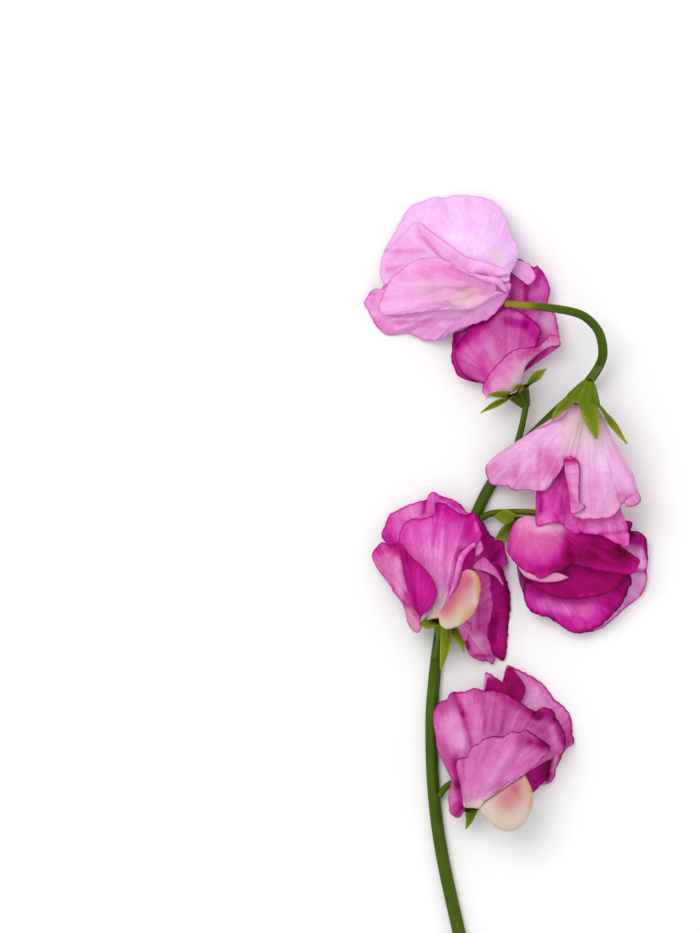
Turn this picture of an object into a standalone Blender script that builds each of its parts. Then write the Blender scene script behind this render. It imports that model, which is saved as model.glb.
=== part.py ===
"""A cut spray of sweet pea, lying on a table: one hooked stem with six open blooms.

All outlines are in millimetres in the spray's own layout, where +X points to the right of the
stem, +Y from the cut end towards the tip, and +Z up from the table. ORIGIN brings the layout's
centre to the world origin, and the object is built in metres.
"""

import math

import bmesh
import bpy
import numpy as np
from mathutils import Vector
from mathutils.bvhtree import BVHTree

MM = 0.001
ORIGIN = (0.26, -0.40, -0.03)

PETAL_THICK = 0.5
CALYX_THICK = 0.55
GAP = 0.4

PETAL_ROWS = 6
PETAL_COLUMNS = 16
NARROW_PETAL_COLUMNS = 9
KEEL_STATIONS = 9
KEEL_RIBS = 7
KEEL_END_WIDTH = 0.45
SEPAL_COLUMNS = 4
CUP_ROWS = (0.0, 0.35, 0.75, 1.0)
SEPAL_ROWS = (0.35, 0.7, 1.0)

LINE_SAMPLES = 8

STEM_STEP = 4.5
PEDICEL_STEP = 2.2
PEDICEL_RADIUS = 0.9

LIFT_SLOPE = 0.7
LIFT_SAMPLES = 3
LIFT_REACH = 0.5
SEPAL_REACH = 2.0
RAY_HEIGHT = 100.0

DEEP_PINK = (0.62, 0.03, 0.36)
ROSE = (0.80, 0.16, 0.52)
PALE_PINK = (0.88, 0.50, 0.74)
LILAC = (0.90, 0.62, 0.85)
CREAM = (0.86, 0.72, 0.58)
STEM_GREEN = (0.10, 0.15, 0.01)
CALYX_GREEN = (0.16, 0.22, 0.02)

STEM_LINE = [
    (-9.0, -118.0, 1.95, 1.95),
    (-14.0, -96.5, 1.9, 1.9),
    (-18.9, -73.9, 1.85, 1.85),
    (-21.3, -55.4, 1.8, 1.8),
    (-21.9, -36.9, 1.8, 1.8),
    (-21.2, -24.6, 1.75, 1.75),
    (-19.7, -12.3, 1.75, 1.75),
    (-17.5, 0.0, 1.7, 1.7),
    (-14.3, 12.0, 1.7, 1.7),
    (-8.8, 25.0, 1.65, 1.65),
    (-4.5, 33.5, 1.65, 1.65),
    (1.5, 41.5, 1.6, 1.6),
    (8.5, 48.7, 1.6, 1.6),
    (16.2, 56.2, 2.0, 1.5),
    (21.0, 60.3, 3.0, 1.45),
    (24.3, 64.0, 4.5, 1.4),
    (27.3, 69.0, 7.0, 1.35),
    (27.8, 73.0, 9.5, 1.35),
    (26.4, 78.0, 12.5, 1.3),
    (23.0, 81.6, 14.8, 1.25),
    (18.8, 83.4, 16.4, 1.2),
    (11.5, 84.6, 17.6, 1.15),
    (5.0, 85.2, 17.6, 1.05),
    (-0.6, 85.8, 16.6, 1.0),
]


def clear_scene():
    for obj in list(bpy.data.objects):
        bpy.data.objects.remove(obj, do_unlink=True)


def new_collection(name):
    collection = bpy.data.collections.new(name)
    bpy.context.scene.collection.children.link(collection)
    return collection


def material(name, color, roughness):
    """A plain material of one colour, shared by every piece that asks for the same name."""
    if name in bpy.data.materials:
        return bpy.data.materials[name]
    made = bpy.data.materials.new(name)
    made.use_nodes = True
    shader = made.node_tree.nodes["Principled BSDF"]
    shader.inputs["Base Color"].default_value = (*color, 1.0)
    shader.inputs["Roughness"].default_value = roughness
    return made


def spline(points, count):
    """A smooth curve through the points, read at evenly spaced places along its length."""
    points = np.array(points, float)
    ends = np.vstack([2 * points[0] - points[1], points, 2 * points[-1] - points[-2]])
    fine = []
    for i in range(1, len(ends) - 2):
        before, start, end, after = ends[i - 1 : i + 3]
        for t in np.linspace(0.0, 1.0, LINE_SAMPLES, endpoint=False):
            fine.append(
                0.5
                * (
                    2 * start
                    + (end - before) * t
                    + (2 * before - 5 * start + 4 * end - after) * t**2
                    + (3 * start - before - 3 * end + after) * t**3
                )
            )
    fine.append(points[-1])
    fine = np.array(fine)
    steps = np.linalg.norm(np.diff(fine[:, :3], axis=0), axis=1)
    along = np.concatenate([[0.0], np.cumsum(steps)])
    wanted = np.linspace(0.0, along[-1], count)
    return np.stack([np.interp(wanted, along, fine[:, k]) for k in range(fine.shape[1])], 1)


def length_of(points):
    flat = np.array(points, float)[:, :3]
    return float(np.linalg.norm(np.diff(flat, axis=0), axis=1).sum())


def to_world(point):
    return Vector((point[0] - ORIGIN[0], point[1] - ORIGIN[1], point[2] - ORIGIN[2])) * MM


class Spray:
    """The pieces built so far, with the surfaces that later pieces must pass over."""

    def __init__(self, collection):
        self.collection = collection
        self.surfaces = {}

    def add(self, obj, look):
        obj.data.materials.append(look)
        self.collection.objects.link(obj)
        bpy.context.view_layer.update()
        evaluated = obj.evaluated_get(bpy.context.evaluated_depsgraph_get())
        mesh = evaluated.to_mesh()
        points = [
            (v.co.x / MM + ORIGIN[0], v.co.y / MM + ORIGIN[1], v.co.z / MM + ORIGIN[2])
            for v in mesh.vertices
        ]
        mesh.calc_loop_triangles()
        faces = [tuple(t.vertices) for t in mesh.loop_triangles]
        evaluated.to_mesh_clear()
        flat = np.array(points)
        self.surfaces[obj.name] = (
            BVHTree.FromPolygons(points, faces),
            flat.min(axis=0),
            flat.max(axis=0),
        )

    def top_at(self, x, y, skip):
        """The height of the highest surface over this place, or None over bare table."""
        highest = None
        for name, (tree, low, high) in self.surfaces.items():
            if name in skip or not (low[0] <= x <= high[0] and low[1] <= y <= high[1]):
                continue
            hit = tree.ray_cast(Vector((x, y, RAY_HEIGHT)), Vector((0, 0, -1)))[0]
            if hit is not None and (highest is None or hit.z > highest):
                highest = hit.z
        return highest

    def needed_height(self, x, y, half, skip, reach=LIFT_REACH):
        """How high a sheet of this half thickness has to be to pass over this place."""
        height = half
        for dx, dy in ((0, 0), (reach, 0), (-reach, 0), (0, reach), (0, -reach)):
            top = self.top_at(x + dx, y + dy, skip)
            if top is not None:
                height = max(height, top + GAP + half)
        return height

    def lift(self, grid, half, skip):
        """Raises a grid of points where it would pass through a piece beneath, with soft slopes."""
        rows, columns = grid.shape[:2]
        lifts = np.zeros((rows, columns))
        steps = np.linspace(0.0, 1.0, LIFT_SAMPLES, endpoint=True)
        for i in range(rows - 1):
            for j in range(columns - 1):
                corners = grid[i : i + 2, j : j + 2]
                worst = 0.0
                for s in steps:
                    for t in steps:
                        low = corners[0, 0] * (1 - t) + corners[0, 1] * t
                        high = corners[1, 0] * (1 - t) + corners[1, 1] * t
                        x, y, z = low * (1 - s) + high * s
                        worst = max(worst, self.needed_height(x, y, half, skip) - z)
                block = lifts[i : i + 2, j : j + 2]
                np.maximum(block, worst, out=block)
        for _ in range(rows + columns):
            for axis in (0, 1):
                gaps = np.linalg.norm(np.diff(grid[..., :2], axis=axis), axis=-1) * LIFT_SLOPE
                if axis == 0:
                    lifts[1:] = np.maximum(lifts[1:], lifts[:-1] - gaps)
                    lifts[:-1] = np.maximum(lifts[:-1], lifts[1:] - gaps)
                else:
                    lifts[:, 1:] = np.maximum(lifts[:, 1:], lifts[:, :-1] - gaps)
                    lifts[:, :-1] = np.maximum(lifts[:, :-1], lifts[:, 1:] - gaps)
        raised = grid.copy()
        raised[..., 2] += lifts
        return raised


def sheet_object(name, vertices, faces, thickness):
    """An open surface in layout millimetres, given its thickness by Solidify."""
    mesh = bpy.data.meshes.new(name)
    mesh.from_pydata([to_world(v) for v in vertices], [], faces)
    shape = bmesh.new()
    shape.from_mesh(mesh)
    bmesh.ops.recalc_face_normals(shape, faces=shape.faces)
    shape.to_mesh(mesh)
    shape.free()
    mesh.shade_smooth()
    obj = bpy.data.objects.new(name, mesh)
    skin = obj.modifiers.new("Thickness", "SOLIDIFY")
    skin.thickness = thickness * MM
    skin.offset = 0.0
    return obj


def grid_faces(rows, columns):
    return [
        (
            i * columns + j,
            i * columns + j + 1,
            (i + 1) * columns + j + 1,
            (i + 1) * columns + j,
        )
        for i in range(rows - 1)
        for j in range(columns - 1)
    ]


def petal(spray, name, look, claw, margin, belly=0.0, skip=(), columns=PETAL_COLUMNS):
    """A petal lofted from its short claw to its free margin, and laid over what is beneath it.

    belly raises the middle of each rib, or sags it where it is negative.
    """
    start = spline(claw, columns)
    end = spline(margin, columns)
    rows = []
    for t in np.linspace(0.0, 1.0, PETAL_ROWS):
        row = start * (1 - t) + end * t
        row[:, 2] += belly * 4 * t * (1 - t)
        rows.append(row)
    grid = spray.lift(np.array(rows), PETAL_THICK / 2, skip)
    flat = grid.reshape(-1, 3)
    spray.add(sheet_object(name, flat, grid_faces(PETAL_ROWS, columns), PETAL_THICK), look)


def keel(spray, name, look, spine, edge, height, half_width, skip=()):
    """A keel: two petals joined along a curved spine, hollow, and open along its other edge."""
    low = spline([(x, y, 0.0) for x, y in spine], KEEL_STATIONS)
    high = spline([(x, y, 0.0) for x, y in edge], KEEL_STATIONS)
    span = np.linalg.norm(high - low, axis=1)
    rows = []
    for rib in np.linspace(-1.0, 1.0, KEEL_RIBS):
        share = abs(rib)
        row = low + (high - low) * share**1.4
        swell = half_width * (KEEL_END_WIDTH + (1.0 - KEEL_END_WIDTH) * span / span.max())
        row[:, 2] = height + math.copysign(1.0, rib) * swell * math.sin(share * 0.72 * math.pi)
        rows.append(row)
    grid = np.array(rows)
    half = PETAL_THICK / 2
    lift = 0.0
    for x, y, z in grid.reshape(-1, 3):
        lift = max(lift, spray.needed_height(x, y, half, skip) - z if z <= height else 0.0)
    grid[..., 2] += lift
    flat = grid.reshape(-1, 3)
    spray.add(sheet_object(name, flat, grid_faces(KEEL_RIBS, KEEL_STATIONS), PETAL_THICK), look)


def calyx(spray, name, look, base, mouth, radius, top, tips, reach=6.0, skip=()):
    """A green cup round the petals' claws, with five pointed sepals.

    base and mouth are the centres of the cup's two ends, top is the direction of sepal 0 round
    the mouth, and tips gives the point that a sepal reaches, by its number. The sepals that it
    leaves out spread by reach.
    """
    base = Vector(base)
    mouth = Vector(mouth)
    axis = (mouth - base).normalized()
    side = (Vector(top) - axis * Vector(top).dot(axis)).normalized()
    across = axis.cross(side)
    around = 5 * SEPAL_COLUMNS
    vertices = []
    for share in CUP_ROWS:
        centre = base.lerp(mouth, share)
        wide = radius * (0.3 + 0.7 * math.sin(share * math.pi / 2))
        for k in range(around):
            angle = math.tau * (k / around - 0.1)
            vertices.append(centre + (side * math.cos(angle) + across * math.sin(angle)) * wide)
    faces = []
    for i in range(len(CUP_ROWS) - 1):
        for k in range(around):
            after = (k + 1) % around
            faces.append(
                (
                    i * around + k,
                    i * around + after,
                    (i + 1) * around + after,
                    (i + 1) * around + k,
                )
            )
    rim = (len(CUP_ROWS) - 1) * around
    for number in range(5):
        angle = math.tau * number / 5
        outward = side * math.cos(angle) + across * math.sin(angle)
        root = mouth + outward * radius
        tip = Vector(tips[number]) if number in tips else root + (outward + axis * 0.4) * reach
        before = [rim + (number * SEPAL_COLUMNS + k) % around for k in range(SEPAL_COLUMNS + 1)]
        feet = [vertices[index].copy() for index in before]
        for share in SEPAL_ROWS:
            width = (1.0 - share) ** 0.8 * 0.9 + 0.1
            row = []
            for foot in feet:
                bow = (outward * 0.8 + axis * 0.6) * 4 * share * (1 - share)
                vertices.append(root + (foot - root) * width + (tip - root) * share + bow)
                row.append(len(vertices) - 1)
            for k in range(SEPAL_COLUMNS):
                faces.append((before[k], before[k + 1], row[k + 1], row[k]))
            before = row
    half = CALYX_THICK / 2
    for vertex in vertices[rim:]:
        clear = spray.needed_height(vertex.x, vertex.y, half, skip, SEPAL_REACH)
        vertex.z = max(vertex.z, clear)
    spray.add(sheet_object(name, vertices, faces, CALYX_THICK), look)


def tube(spray, name, look, line, step):
    """A round green stalk along a smooth line of (x, y, z, radius), closed at both ends."""
    count = max(3, round(length_of(line) / step))
    points = spline(line, count)
    curve = bpy.data.curves.new(name, "CURVE")
    curve.dimensions = "3D"
    curve.bevel_depth = MM
    curve.bevel_resolution = 2
    curve.use_fill_caps = True
    run = curve.splines.new("POLY")
    run.points.add(count - 1)
    for target, (x, y, z, radius) in zip(run.points, points):
        target.co = (*to_world((x, y, z)), 1.0)
        target.radius = radius
    spray.add(bpy.data.objects.new(name, curve), look)


def pedicel(spray, name, look, line):
    tube(spray, name, look, [(x, y, z, PEDICEL_RADIUS) for x, y, z in line], PEDICEL_STEP)


def bloom_5(spray, looks):
    """The cup-shaped bloom that the crook of the stem passes over."""
    calyx(
        spray,
        "bloom5_calyx",
        looks["calyx"],
        base=(5.6, 57.0, 6.2),
        mouth=(3.6, 60.2, 8.0),
        radius=3.2,
        top=(0.9, 0.5, 0.2),
        tips={0: (11.0, 66.8, 11.0), 2: (-5.0, 59.3, 12.0), 3: (-7.6, 54.3, 6.0)},
        reach=2.0,
    )
    petal(
        spray,
        "bloom5_back_standard",
        looks["deep"],
        claw=[(1.0, 63.6, 7.5), (3.0, 64.6, 7.5)],
        margin=[
            (-4, 70, 2.5),
            (-8, 78, 3),
            (-5, 84, 4.5),
            (-2, 89, 6),
            (1, 95, 7),
            (3, 98.8, 8),
            (7.8, 96.7, 7),
            (10.5, 95.3, 6),
            (12.5, 90, 5),
            (12, 86, 5),
            (14.3, 82.5, 5),
            (15.2, 76.5, 6),
            (15, 73.8, 6.5),
            (11, 72.5, 6.5),
            (6.5, 67.8, 7.0),
        ],
        belly=-3.0,
    )
    petal(
        spray,
        "bloom5_cup_wing",
        looks["rose"],
        claw=[(-1.0, 62.8, 9.0), (1.8, 64.0, 9.0)],
        margin=[
            (-7, 62.7, 7),
            (-13, 65.5, 6.5),
            (-15.5, 70, 8),
            (-15.3, 76, 10),
            (-10, 79.5, 11.5),
            (-5, 81, 12),
            (-1, 83, 12),
            (5, 82.5, 11.5),
            (8.5, 80.5, 11),
            (9.8, 77.5, 10.5),
            (8.5, 73.5, 10),
            (5, 68.5, 9.5),
        ],
        belly=-3.0,
    )
    keel(
        spray,
        "bloom5_keel",
        looks["cream"],
        spine=[(-1.5, 65.0), (-4.5, 66.5), (-6.5, 70.0), (-5.5, 74.5)],
        edge=[(0.0, 66.5), (-1.0, 69.0), (-2.0, 72.0), (-4.0, 74.8)],
        height=7.5,
        half_width=1.6,
    )
    petal(
        spray,
        "bloom5_outer_wing",
        looks["pale"],
        claw=[(-2.0, 61.6, 11.5), (1.6, 63.0, 11.5)],
        margin=[
            (-5.5, 58.8, 9),
            (-7.1, 60.5, 9.5),
            (-6.8, 62.5, 10.5),
            (-5, 66, 13),
            (-2.3, 69.2, 14),
            (1, 72, 14),
            (5, 73.1, 13.5),
            (9, 74.5, 12.5),
            (12.5, 76, 12),
            (14.5, 74.2, 11.5),
            (12, 73.4, 11),
            (8, 70.8, 11),
            (5.2, 68, 11),
        ],
        belly=0.8,
    )


def bloom_1(spray, looks):
    """The lowest bloom, to the right of the stem and facing up."""
    calyx(
        spray,
        "bloom1_calyx",
        looks["calyx"],
        base=(-11.8, -56.8, 4.6),
        mouth=(-10.4, -58.3, 9.4),
        radius=3.3,
        top=(0.1, -1.0, 0.0),
        tips={0: (-12.1, -66.3, 3.0)},
        reach=3.0,
    )
    petal(
        spray,
        "bloom1_back_standard",
        looks["pale"],
        claw=[(-10.2, -56.8, 11.0), (-8.6, -58.0, 11.0)],
        margin=[
            (-11, -48, 6),
            (-10, -36, 3),
            (-8, -29, 2),
            (-5.8, -21.4, 3.5),
            (-0.8, -23.9, 3),
            (0.4, -19.4, 4),
            (7.5, -22.5, 2),
            (12, -26.3, 0.8),
            (15, -29.9, 0.5),
            (18.2, -33.2, 0.8),
            (19.7, -41.5, 1.5),
            (16.6, -44.8, 1),
            (14.3, -49.3, 1),
            (13.6, -52.2, 2),
            (9, -53.8, 3),
            (-2, -57.5, 8),
        ],
        belly=0.5,
        columns=20,
    )
    petal(
        spray,
        "bloom1_back_wing",
        looks["deep"],
        claw=[(-8.6, -58.4, 12.4), (-8.2, -59.8, 12.4)],
        margin=[
            (-2, -50, 9),
            (4, -45, 7.5),
            (10, -42, 6.5),
            (12.8, -43, 6),
            (12.3, -48, 5),
            (11, -52.6, 4.5),
            (7.3, -56.2, 5),
            (2, -59, 7),
            (-3, -61, 10),
        ],
    )
    keel(
        spray,
        "bloom1_keel",
        looks["cream"],
        spine=[
            (-8.0, -60.2),
            (-5, -64.2),
            (-2.5, -66.1),
            (0.5, -66.8),
            (3.5, -65.8),
            (5.5, -63.5),
            (6.8, -60.5),
            (7.3, -57.5),
            (6.7, -54.0),
            (4.9, -50.6),
        ],
        edge=[(-7.0, -59.2), (-3.5, -56.5), (0.5, -53.5), (4.0, -51.0)],
        height=11.0,
        half_width=2.6,
    )
    petal(
        spray,
        "bloom1_front_standard",
        looks["rose"],
        claw=[(-12.0, -57.6, 13.5), (-9.4, -57.2, 14.0)],
        margin=[
            (-13.2, -60.5, 11),
            (-14.6, -63.2, 8),
            (-16.8, -60, 7),
            (-16.5, -54, 6.5),
            (-17.3, -49.5, 6.5),
            (-19.9, -44, 6),
            (-21.2, -36, 6),
            (-20.2, -30.4, 6),
            (-15.8, -26.9, 6.5),
            (-9.3, -25.8, 7),
            (-3, -26.3, 7.5),
            (4, -29.9, 8),
            (8, -32.2, 9),
            (11, -31.3, 9.5),
            (14.2, -33.5, 8.5),
            (16.9, -39, 7.5),
            (16.2, -44, 7),
            (12.5, -43.2, 8.5),
            (4, -47, 12),
            (-5, -55, 14),
        ],
        belly=2.0,
        columns=22,
    )
    petal(
        spray,
        "bloom1_front_wing",
        looks["lilac"],
        claw=[(-11.8, -59.6, 15.0), (-9.6, -59.9, 15.0)],
        margin=[
            (-12.9, -57, 15.5),
            (-13.7, -52, 16),
            (-14.7, -46.3, 16),
            (-11.3, -45.1, 16.5),
            (-10.5, -42.5, 17),
            (-6, -39.6, 17),
            (-1, -39.2, 17),
            (1.5, -37.9, 17),
            (5.5, -37.4, 17),
            (9, -39.8, 16),
            (12.3, -42.3, 14.5),
            (9.5, -46, 15.5),
            (5, -50, 16.5),
            (-3, -55, 16.5),
            (-8.2, -59.7, 15.5),
        ],
        belly=1.0,
        columns=18,
    )


def bloom_2(spray, looks):
    """The large bloom to the left, over the stem, with its throat turned up."""
    calyx(
        spray,
        "bloom2_calyx",
        looks["calyx"],
        base=(-19.4, -11.0, 7.2),
        mouth=(-18.9, -8.0, 11.6),
        radius=3.4,
        top=(0.0, -1.0, 0.0),
        tips={
            0: (-19.4, -20.5, 5.0),
            1: (-12.8, -15.0, 8.0),
            4: (-25.2, -7.4, 12.0),
        },
        reach=2.0,
        skip=("pedicel_2",),
    )
    petal(
        spray,
        "bloom2_back_standard",
        looks["rose"],
        claw=[(-20.0, -5.6, 13.4), (-18.0, -5.6, 13.4)],
        margin=[
            (-24, 4, 10),
            (-30, 11, 6),
            (-34.5, 16.2, 3),
            (-36.3, 18.8, 2.5),
            (-34.9, 23, 2),
            (-33.3, 25.1, 2),
            (-29, 27.3, 2),
            (-23.2, 29.2, 3),
            (-21.7, 31.1, 4),
            (-16, 29.2, 4),
            (-11.3, 25.3, 5),
            (-9, 25.2, 5),
            (-5.2, 19.5, 3),
            (-0.8, 16.4, 2),
            (0.3, 11, 2),
            (-4, 8, 5),
            (-12, 1, 11),
        ],
        belly=0.0,
        columns=20,
    )
    petal(
        spray,
        "bloom2_right_wing",
        looks["deep"],
        claw=[(-16.6, -3.4, 13.4), (-16.0, -5.2, 13.4)],
        margin=[
            (-10, 7.5, 10),
            (-4.5, 9.8, 8),
            (-1.7, 9.4, 5),
            (0.5, 4, 1.5),
            (1.1, -2, 0.6),
            (0.3, -9, 0.4),
            (0.1, -14.5, 0.4),
            (-1.2, -17.6, 0.4),
            (-3.8, -15.5, 0.6),
            (-5.7, -10.7, 1.5),
            (-7.5, -5, 5),
            (-11.5, -4.5, 10),
        ],
    )
    petal(
        spray,
        "bloom2_right_lobe",
        looks["pale"],
        claw=[(-15.8, -3.8, 15.0), (-15.2, -5.6, 15.0)],
        margin=[
            (-12, 4, 13),
            (-9, 8.5, 12),
            (-5.5, 7.5, 10),
            (-4.3, 1, 8),
            (-4.2, -3, 6),
            (-5.4, -9.5, 3),
            (-4.6, -14, 2),
            (-4.0, -18.4, 1.5),
            (-7, -18, 0.8),
            (-10.5, -16.2, 1),
            (-11.6, -12.5, 2.5),
            (-10.4, -8.5, 6),
            (-12.2, -6, 11),
        ],
    )
    petal(
        spray,
        "bloom2_standard",
        looks["rose"],
        claw=[(-20.6, -4.6, 15.6), (-18.4, -4.4, 15.6)],
        margin=[
            (-20.6, 2, 15),
            (-23, 8, 14),
            (-28, 12.5, 12.5),
            (-31, 16.5, 11),
            (-31, 20, 10.5),
            (-28.5, 23.2, 10.5),
            (-24.5, 23.8, 11),
            (-21, 24.8, 11.5),
            (-20.3, 28.0, 11.5),
            (-17, 27.2, 12),
            (-12, 24.8, 11.5),
            (-9, 24.2, 10.5),
            (-7.4, 19, 11),
            (-10.5, 15.6, 13),
            (-14.5, 13.5, 15),
            (-16.8, 7, 16),
            (-17.6, 0, 16.2),
        ],
        belly=1.0,
        columns=20,
    )
    petal(
        spray,
        "bloom2_left_wing",
        looks["deep"],
        claw=[(-22.8, -4.6, 16.5), (-21.6, -3.6, 16.8)],
        margin=[
            (-26.2, -8.4, 9),
            (-28.4, -7.4, 8),
            (-30.5, -0.4, 8),
            (-33.4, 3.6, 7),
            (-37, 8.2, 5),
            (-38.9, 12.6, 5.5),
            (-36.5, 16.2, 8.5),
            (-33.5, 15.8, 11.5),
            (-31, 16.2, 13),
            (-28, 12.5, 15),
            (-24.2, 9.4, 16.5),
            (-21.2, 5.2, 17.5),
            (-20.5, 2.2, 17.8),
            (-21.0, -1.0, 17.5),
        ],
        belly=1.0,
    )
    keel(
        spray,
        "bloom2_keel",
        looks["cream"],
        spine=[
            (-18.4, -5.4),
            (-17.0, -7.9),
            (-12.5, -6.5),
            (-9.5, -3.5),
            (-7.7, 1.5),
            (-7.6, 5.0),
            (-9.4, 8.3),
            (-11.6, 8.9),
        ],
        edge=[(-18.2, -3.4), (-16.6, 0.0), (-14.6, 4.4), (-12.8, 8.0)],
        height=17.0,
        half_width=2.2,
    )


def bloom_3(spray, looks):
    """The dark bloom to the right, with its petals folded over each other."""
    calyx(
        spray,
        "bloom3_calyx",
        looks["calyx"],
        base=(8.6, 23.2, 4.2),
        mouth=(5.0, 21.2, 7.6),
        radius=3.3,
        top=(-0.7, 0.7, 0.0),
        tips={0: (-3.3, 24.2, 4.5), 1: (-3.0, 17.5, 3.5)},
        reach=2.0,
        skip=("pedicel_3",),
    )
    petal(
        spray,
        "bloom3_outer_petal",
        looks["pale"],
        claw=[(5.0, 19.4, 10.0), (3.4, 17.4, 10.0)],
        margin=[
            (14, 21.5, 7),
            (25, 23.5, 5),
            (33.5, 23, 5),
            (36.4, 22, 5),
            (37.5, 19.9, 4.5),
            (40.4, 17.6, 4),
            (41.2, 11, 2.5),
            (40.8, 4, 2),
            (38, 0, 1),
            (32.5, -4.5, 0.4),
            (28.5, -7.8, 0.3),
            (22, -9.2, 0.3),
            (14, -5.5, 0.4),
            (7, -2, 2),
            (4.2, 3.8, 4.5),
            (2.8, 9.3, 7.5),
        ],
        belly=-2.0,
    )
    petal(
        spray,
        "bloom3_lower_lip",
        looks["rose"],
        claw=[(4.6, 17.6, 11.0), (3.4, 15.8, 11.0)],
        margin=[
            (18, 15, 7),
            (28, 12, 7),
            (35.7, 7, 7.5),
            (35, 2, 7),
            (32.5, -2.5, 5.5),
            (28, -7.2, 4.5),
            (24, -9.3, 4),
            (20, -9.7, 4),
            (15, -7, 4.5),
            (9, -4.5, 5),
            (6, -2, 5.5),
            (5, 3, 7),
            (4, 10, 9),
        ],
        belly=-1.5,
    )
    keel(
        spray,
        "bloom3_keel",
        looks["cream"],
        spine=[(6.0, 13.5), (8.5, 10.5), (13.0, 9.0), (17.5, 11.0)],
        edge=[(7.0, 15.0), (10.0, 14.0), (13.5, 13.2), (17.0, 13.0)],
        height=9.5,
        half_width=1.4,
    )
    petal(
        spray,
        "bloom3_middle_petal",
        looks["deep"],
        claw=[(5.4, 19.6, 12.6), (4.0, 17.6, 12.6)],
        margin=[
            (16, 18.5, 11),
            (26, 16.5, 11),
            (33, 13, 10.5),
            (36.4, 9.2, 10),
            (32.5, 4, 9),
            (27, 1.2, 8.5),
            (20, 0.2, 8.5),
            (14.5, 0.8, 8.5),
            (8, 3.6, 9),
            (4, 7, 10),
            (2.8, 10, 11),
            (3, 14, 12),
        ],
        belly=0.5,
    )
    petal(
        spray,
        "bloom3_standard",
        looks["deep"],
        claw=[(6.0, 20.6, 14.2), (4.6, 18.8, 14.2)],
        margin=[
            (8.5, 23.8, 12.5),
            (16.5, 21, 13),
            (27.5, 18.4, 12.5),
            (33, 15.6, 12),
            (38.1, 11.6, 11.5),
            (35, 7.6, 12),
            (27, 7, 13),
            (17, 8.8, 14),
            (12, 7.8, 13.5),
            (9.3, 6.3, 12.5),
            (5, 8.6, 12),
            (2, 11.2, 11),
            (0.1, 15, 11),
            (1.4, 20.8, 11),
            (4, 24.3, 11),
            (6.6, 24.3, 12),
        ],
        belly=1.0,
        columns=20,
    )


def bloom_4(spray, looks):
    """The pale bloom that hangs over bloom 3, seen from the back of its standard."""
    petal(
        spray,
        "bloom4_left_wing",
        looks["rose"],
        claw=[(19.4, 52.0, 16.6), (21.2, 51.6, 16.6)],
        margin=[
            (15.5, 44, 16.5),
            (11, 36, 15.5),
            (8.6, 30, 14),
            (8.2, 24, 13),
            (9, 21.3, 13),
            (14, 22.3, 14),
            (17.5, 20.2, 14),
            (20.5, 20.5, 14.5),
            (21, 30, 16),
            (21.5, 42, 17),
        ],
    )
    petal(
        spray,
        "bloom4_right_wing",
        looks["rose"],
        claw=[(21.6, 48.6, 17.6), (26.4, 49.0, 17.6)],
        margin=[
            (20.4, 23, 15.6),
            (23, 19.6, 15.4),
            (27, 18.6, 15),
            (31, 17.2, 14.4),
            (35, 16.4, 14),
            (35.0, 21, 14.4),
        ],
        columns=NARROW_PETAL_COLUMNS,
    )
    keel(
        spray,
        "bloom4_keel",
        looks["cream"],
        spine=[(23.6, 49.0), (25.0, 42.0), (23.5, 35.5), (20.5, 32.0)],
        edge=[(21.6, 48.6), (21.0, 43.0), (20.2, 38.0), (19.2, 33.6)],
        height=19.0,
        half_width=1.4,
    )
    petal(
        spray,
        "bloom4_standard",
        looks["pale"],
        claw=[(19.6, 52.8, 19.6), (24.4, 52.8, 19.6)],
        margin=[
            (15.5, 52.6, 18.5),
            (10, 50, 15),
            (5, 47.2, 11.5),
            (0, 44, 8),
            (-4.6, 40.5, 6),
            (-6, 36.8, 5.5),
            (-4.5, 33.6, 5.5),
            (2, 32, 8),
            (8, 31.5, 11),
            (11.5, 32.2, 14),
            (14.3, 36, 18),
            (16.3, 40.2, 20.5),
            (16.6, 35, 20.5),
            (17.4, 30, 20),
            (18.4, 25, 19.5),
            (22.5, 23.4, 19),
            (27.5, 23.6, 18),
            (31, 24.8, 16.5),
            (34.7, 27.2, 14.5),
            (37.8, 28, 13.5),
            (37.8, 31.5, 13.5),
            (36.3, 36, 14),
            (33.4, 41.2, 15),
            (30.3, 46.5, 17),
            (28, 52.4, 19),
        ],
        belly=1.5,
        columns=26,
    )
    calyx(
        spray,
        "bloom4_calyx",
        looks["calyx"],
        base=(23.6, 62.8, 17.2),
        mouth=(22.5, 58.2, 19.2),
        radius=3.6,
        top=(0.3, 0.0, 1.0),
        tips={
            0: (25.5, 47.6, 22.0),
            1: (33.8, 45.6, 20.5),
            2: (27.6, 57.0, 13.0),
            3: (17.5, 57.0, 13.0),
            4: (13.2, 52.6, 19.0),
        },
        skip=("pedicel_4",),
    )


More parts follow.
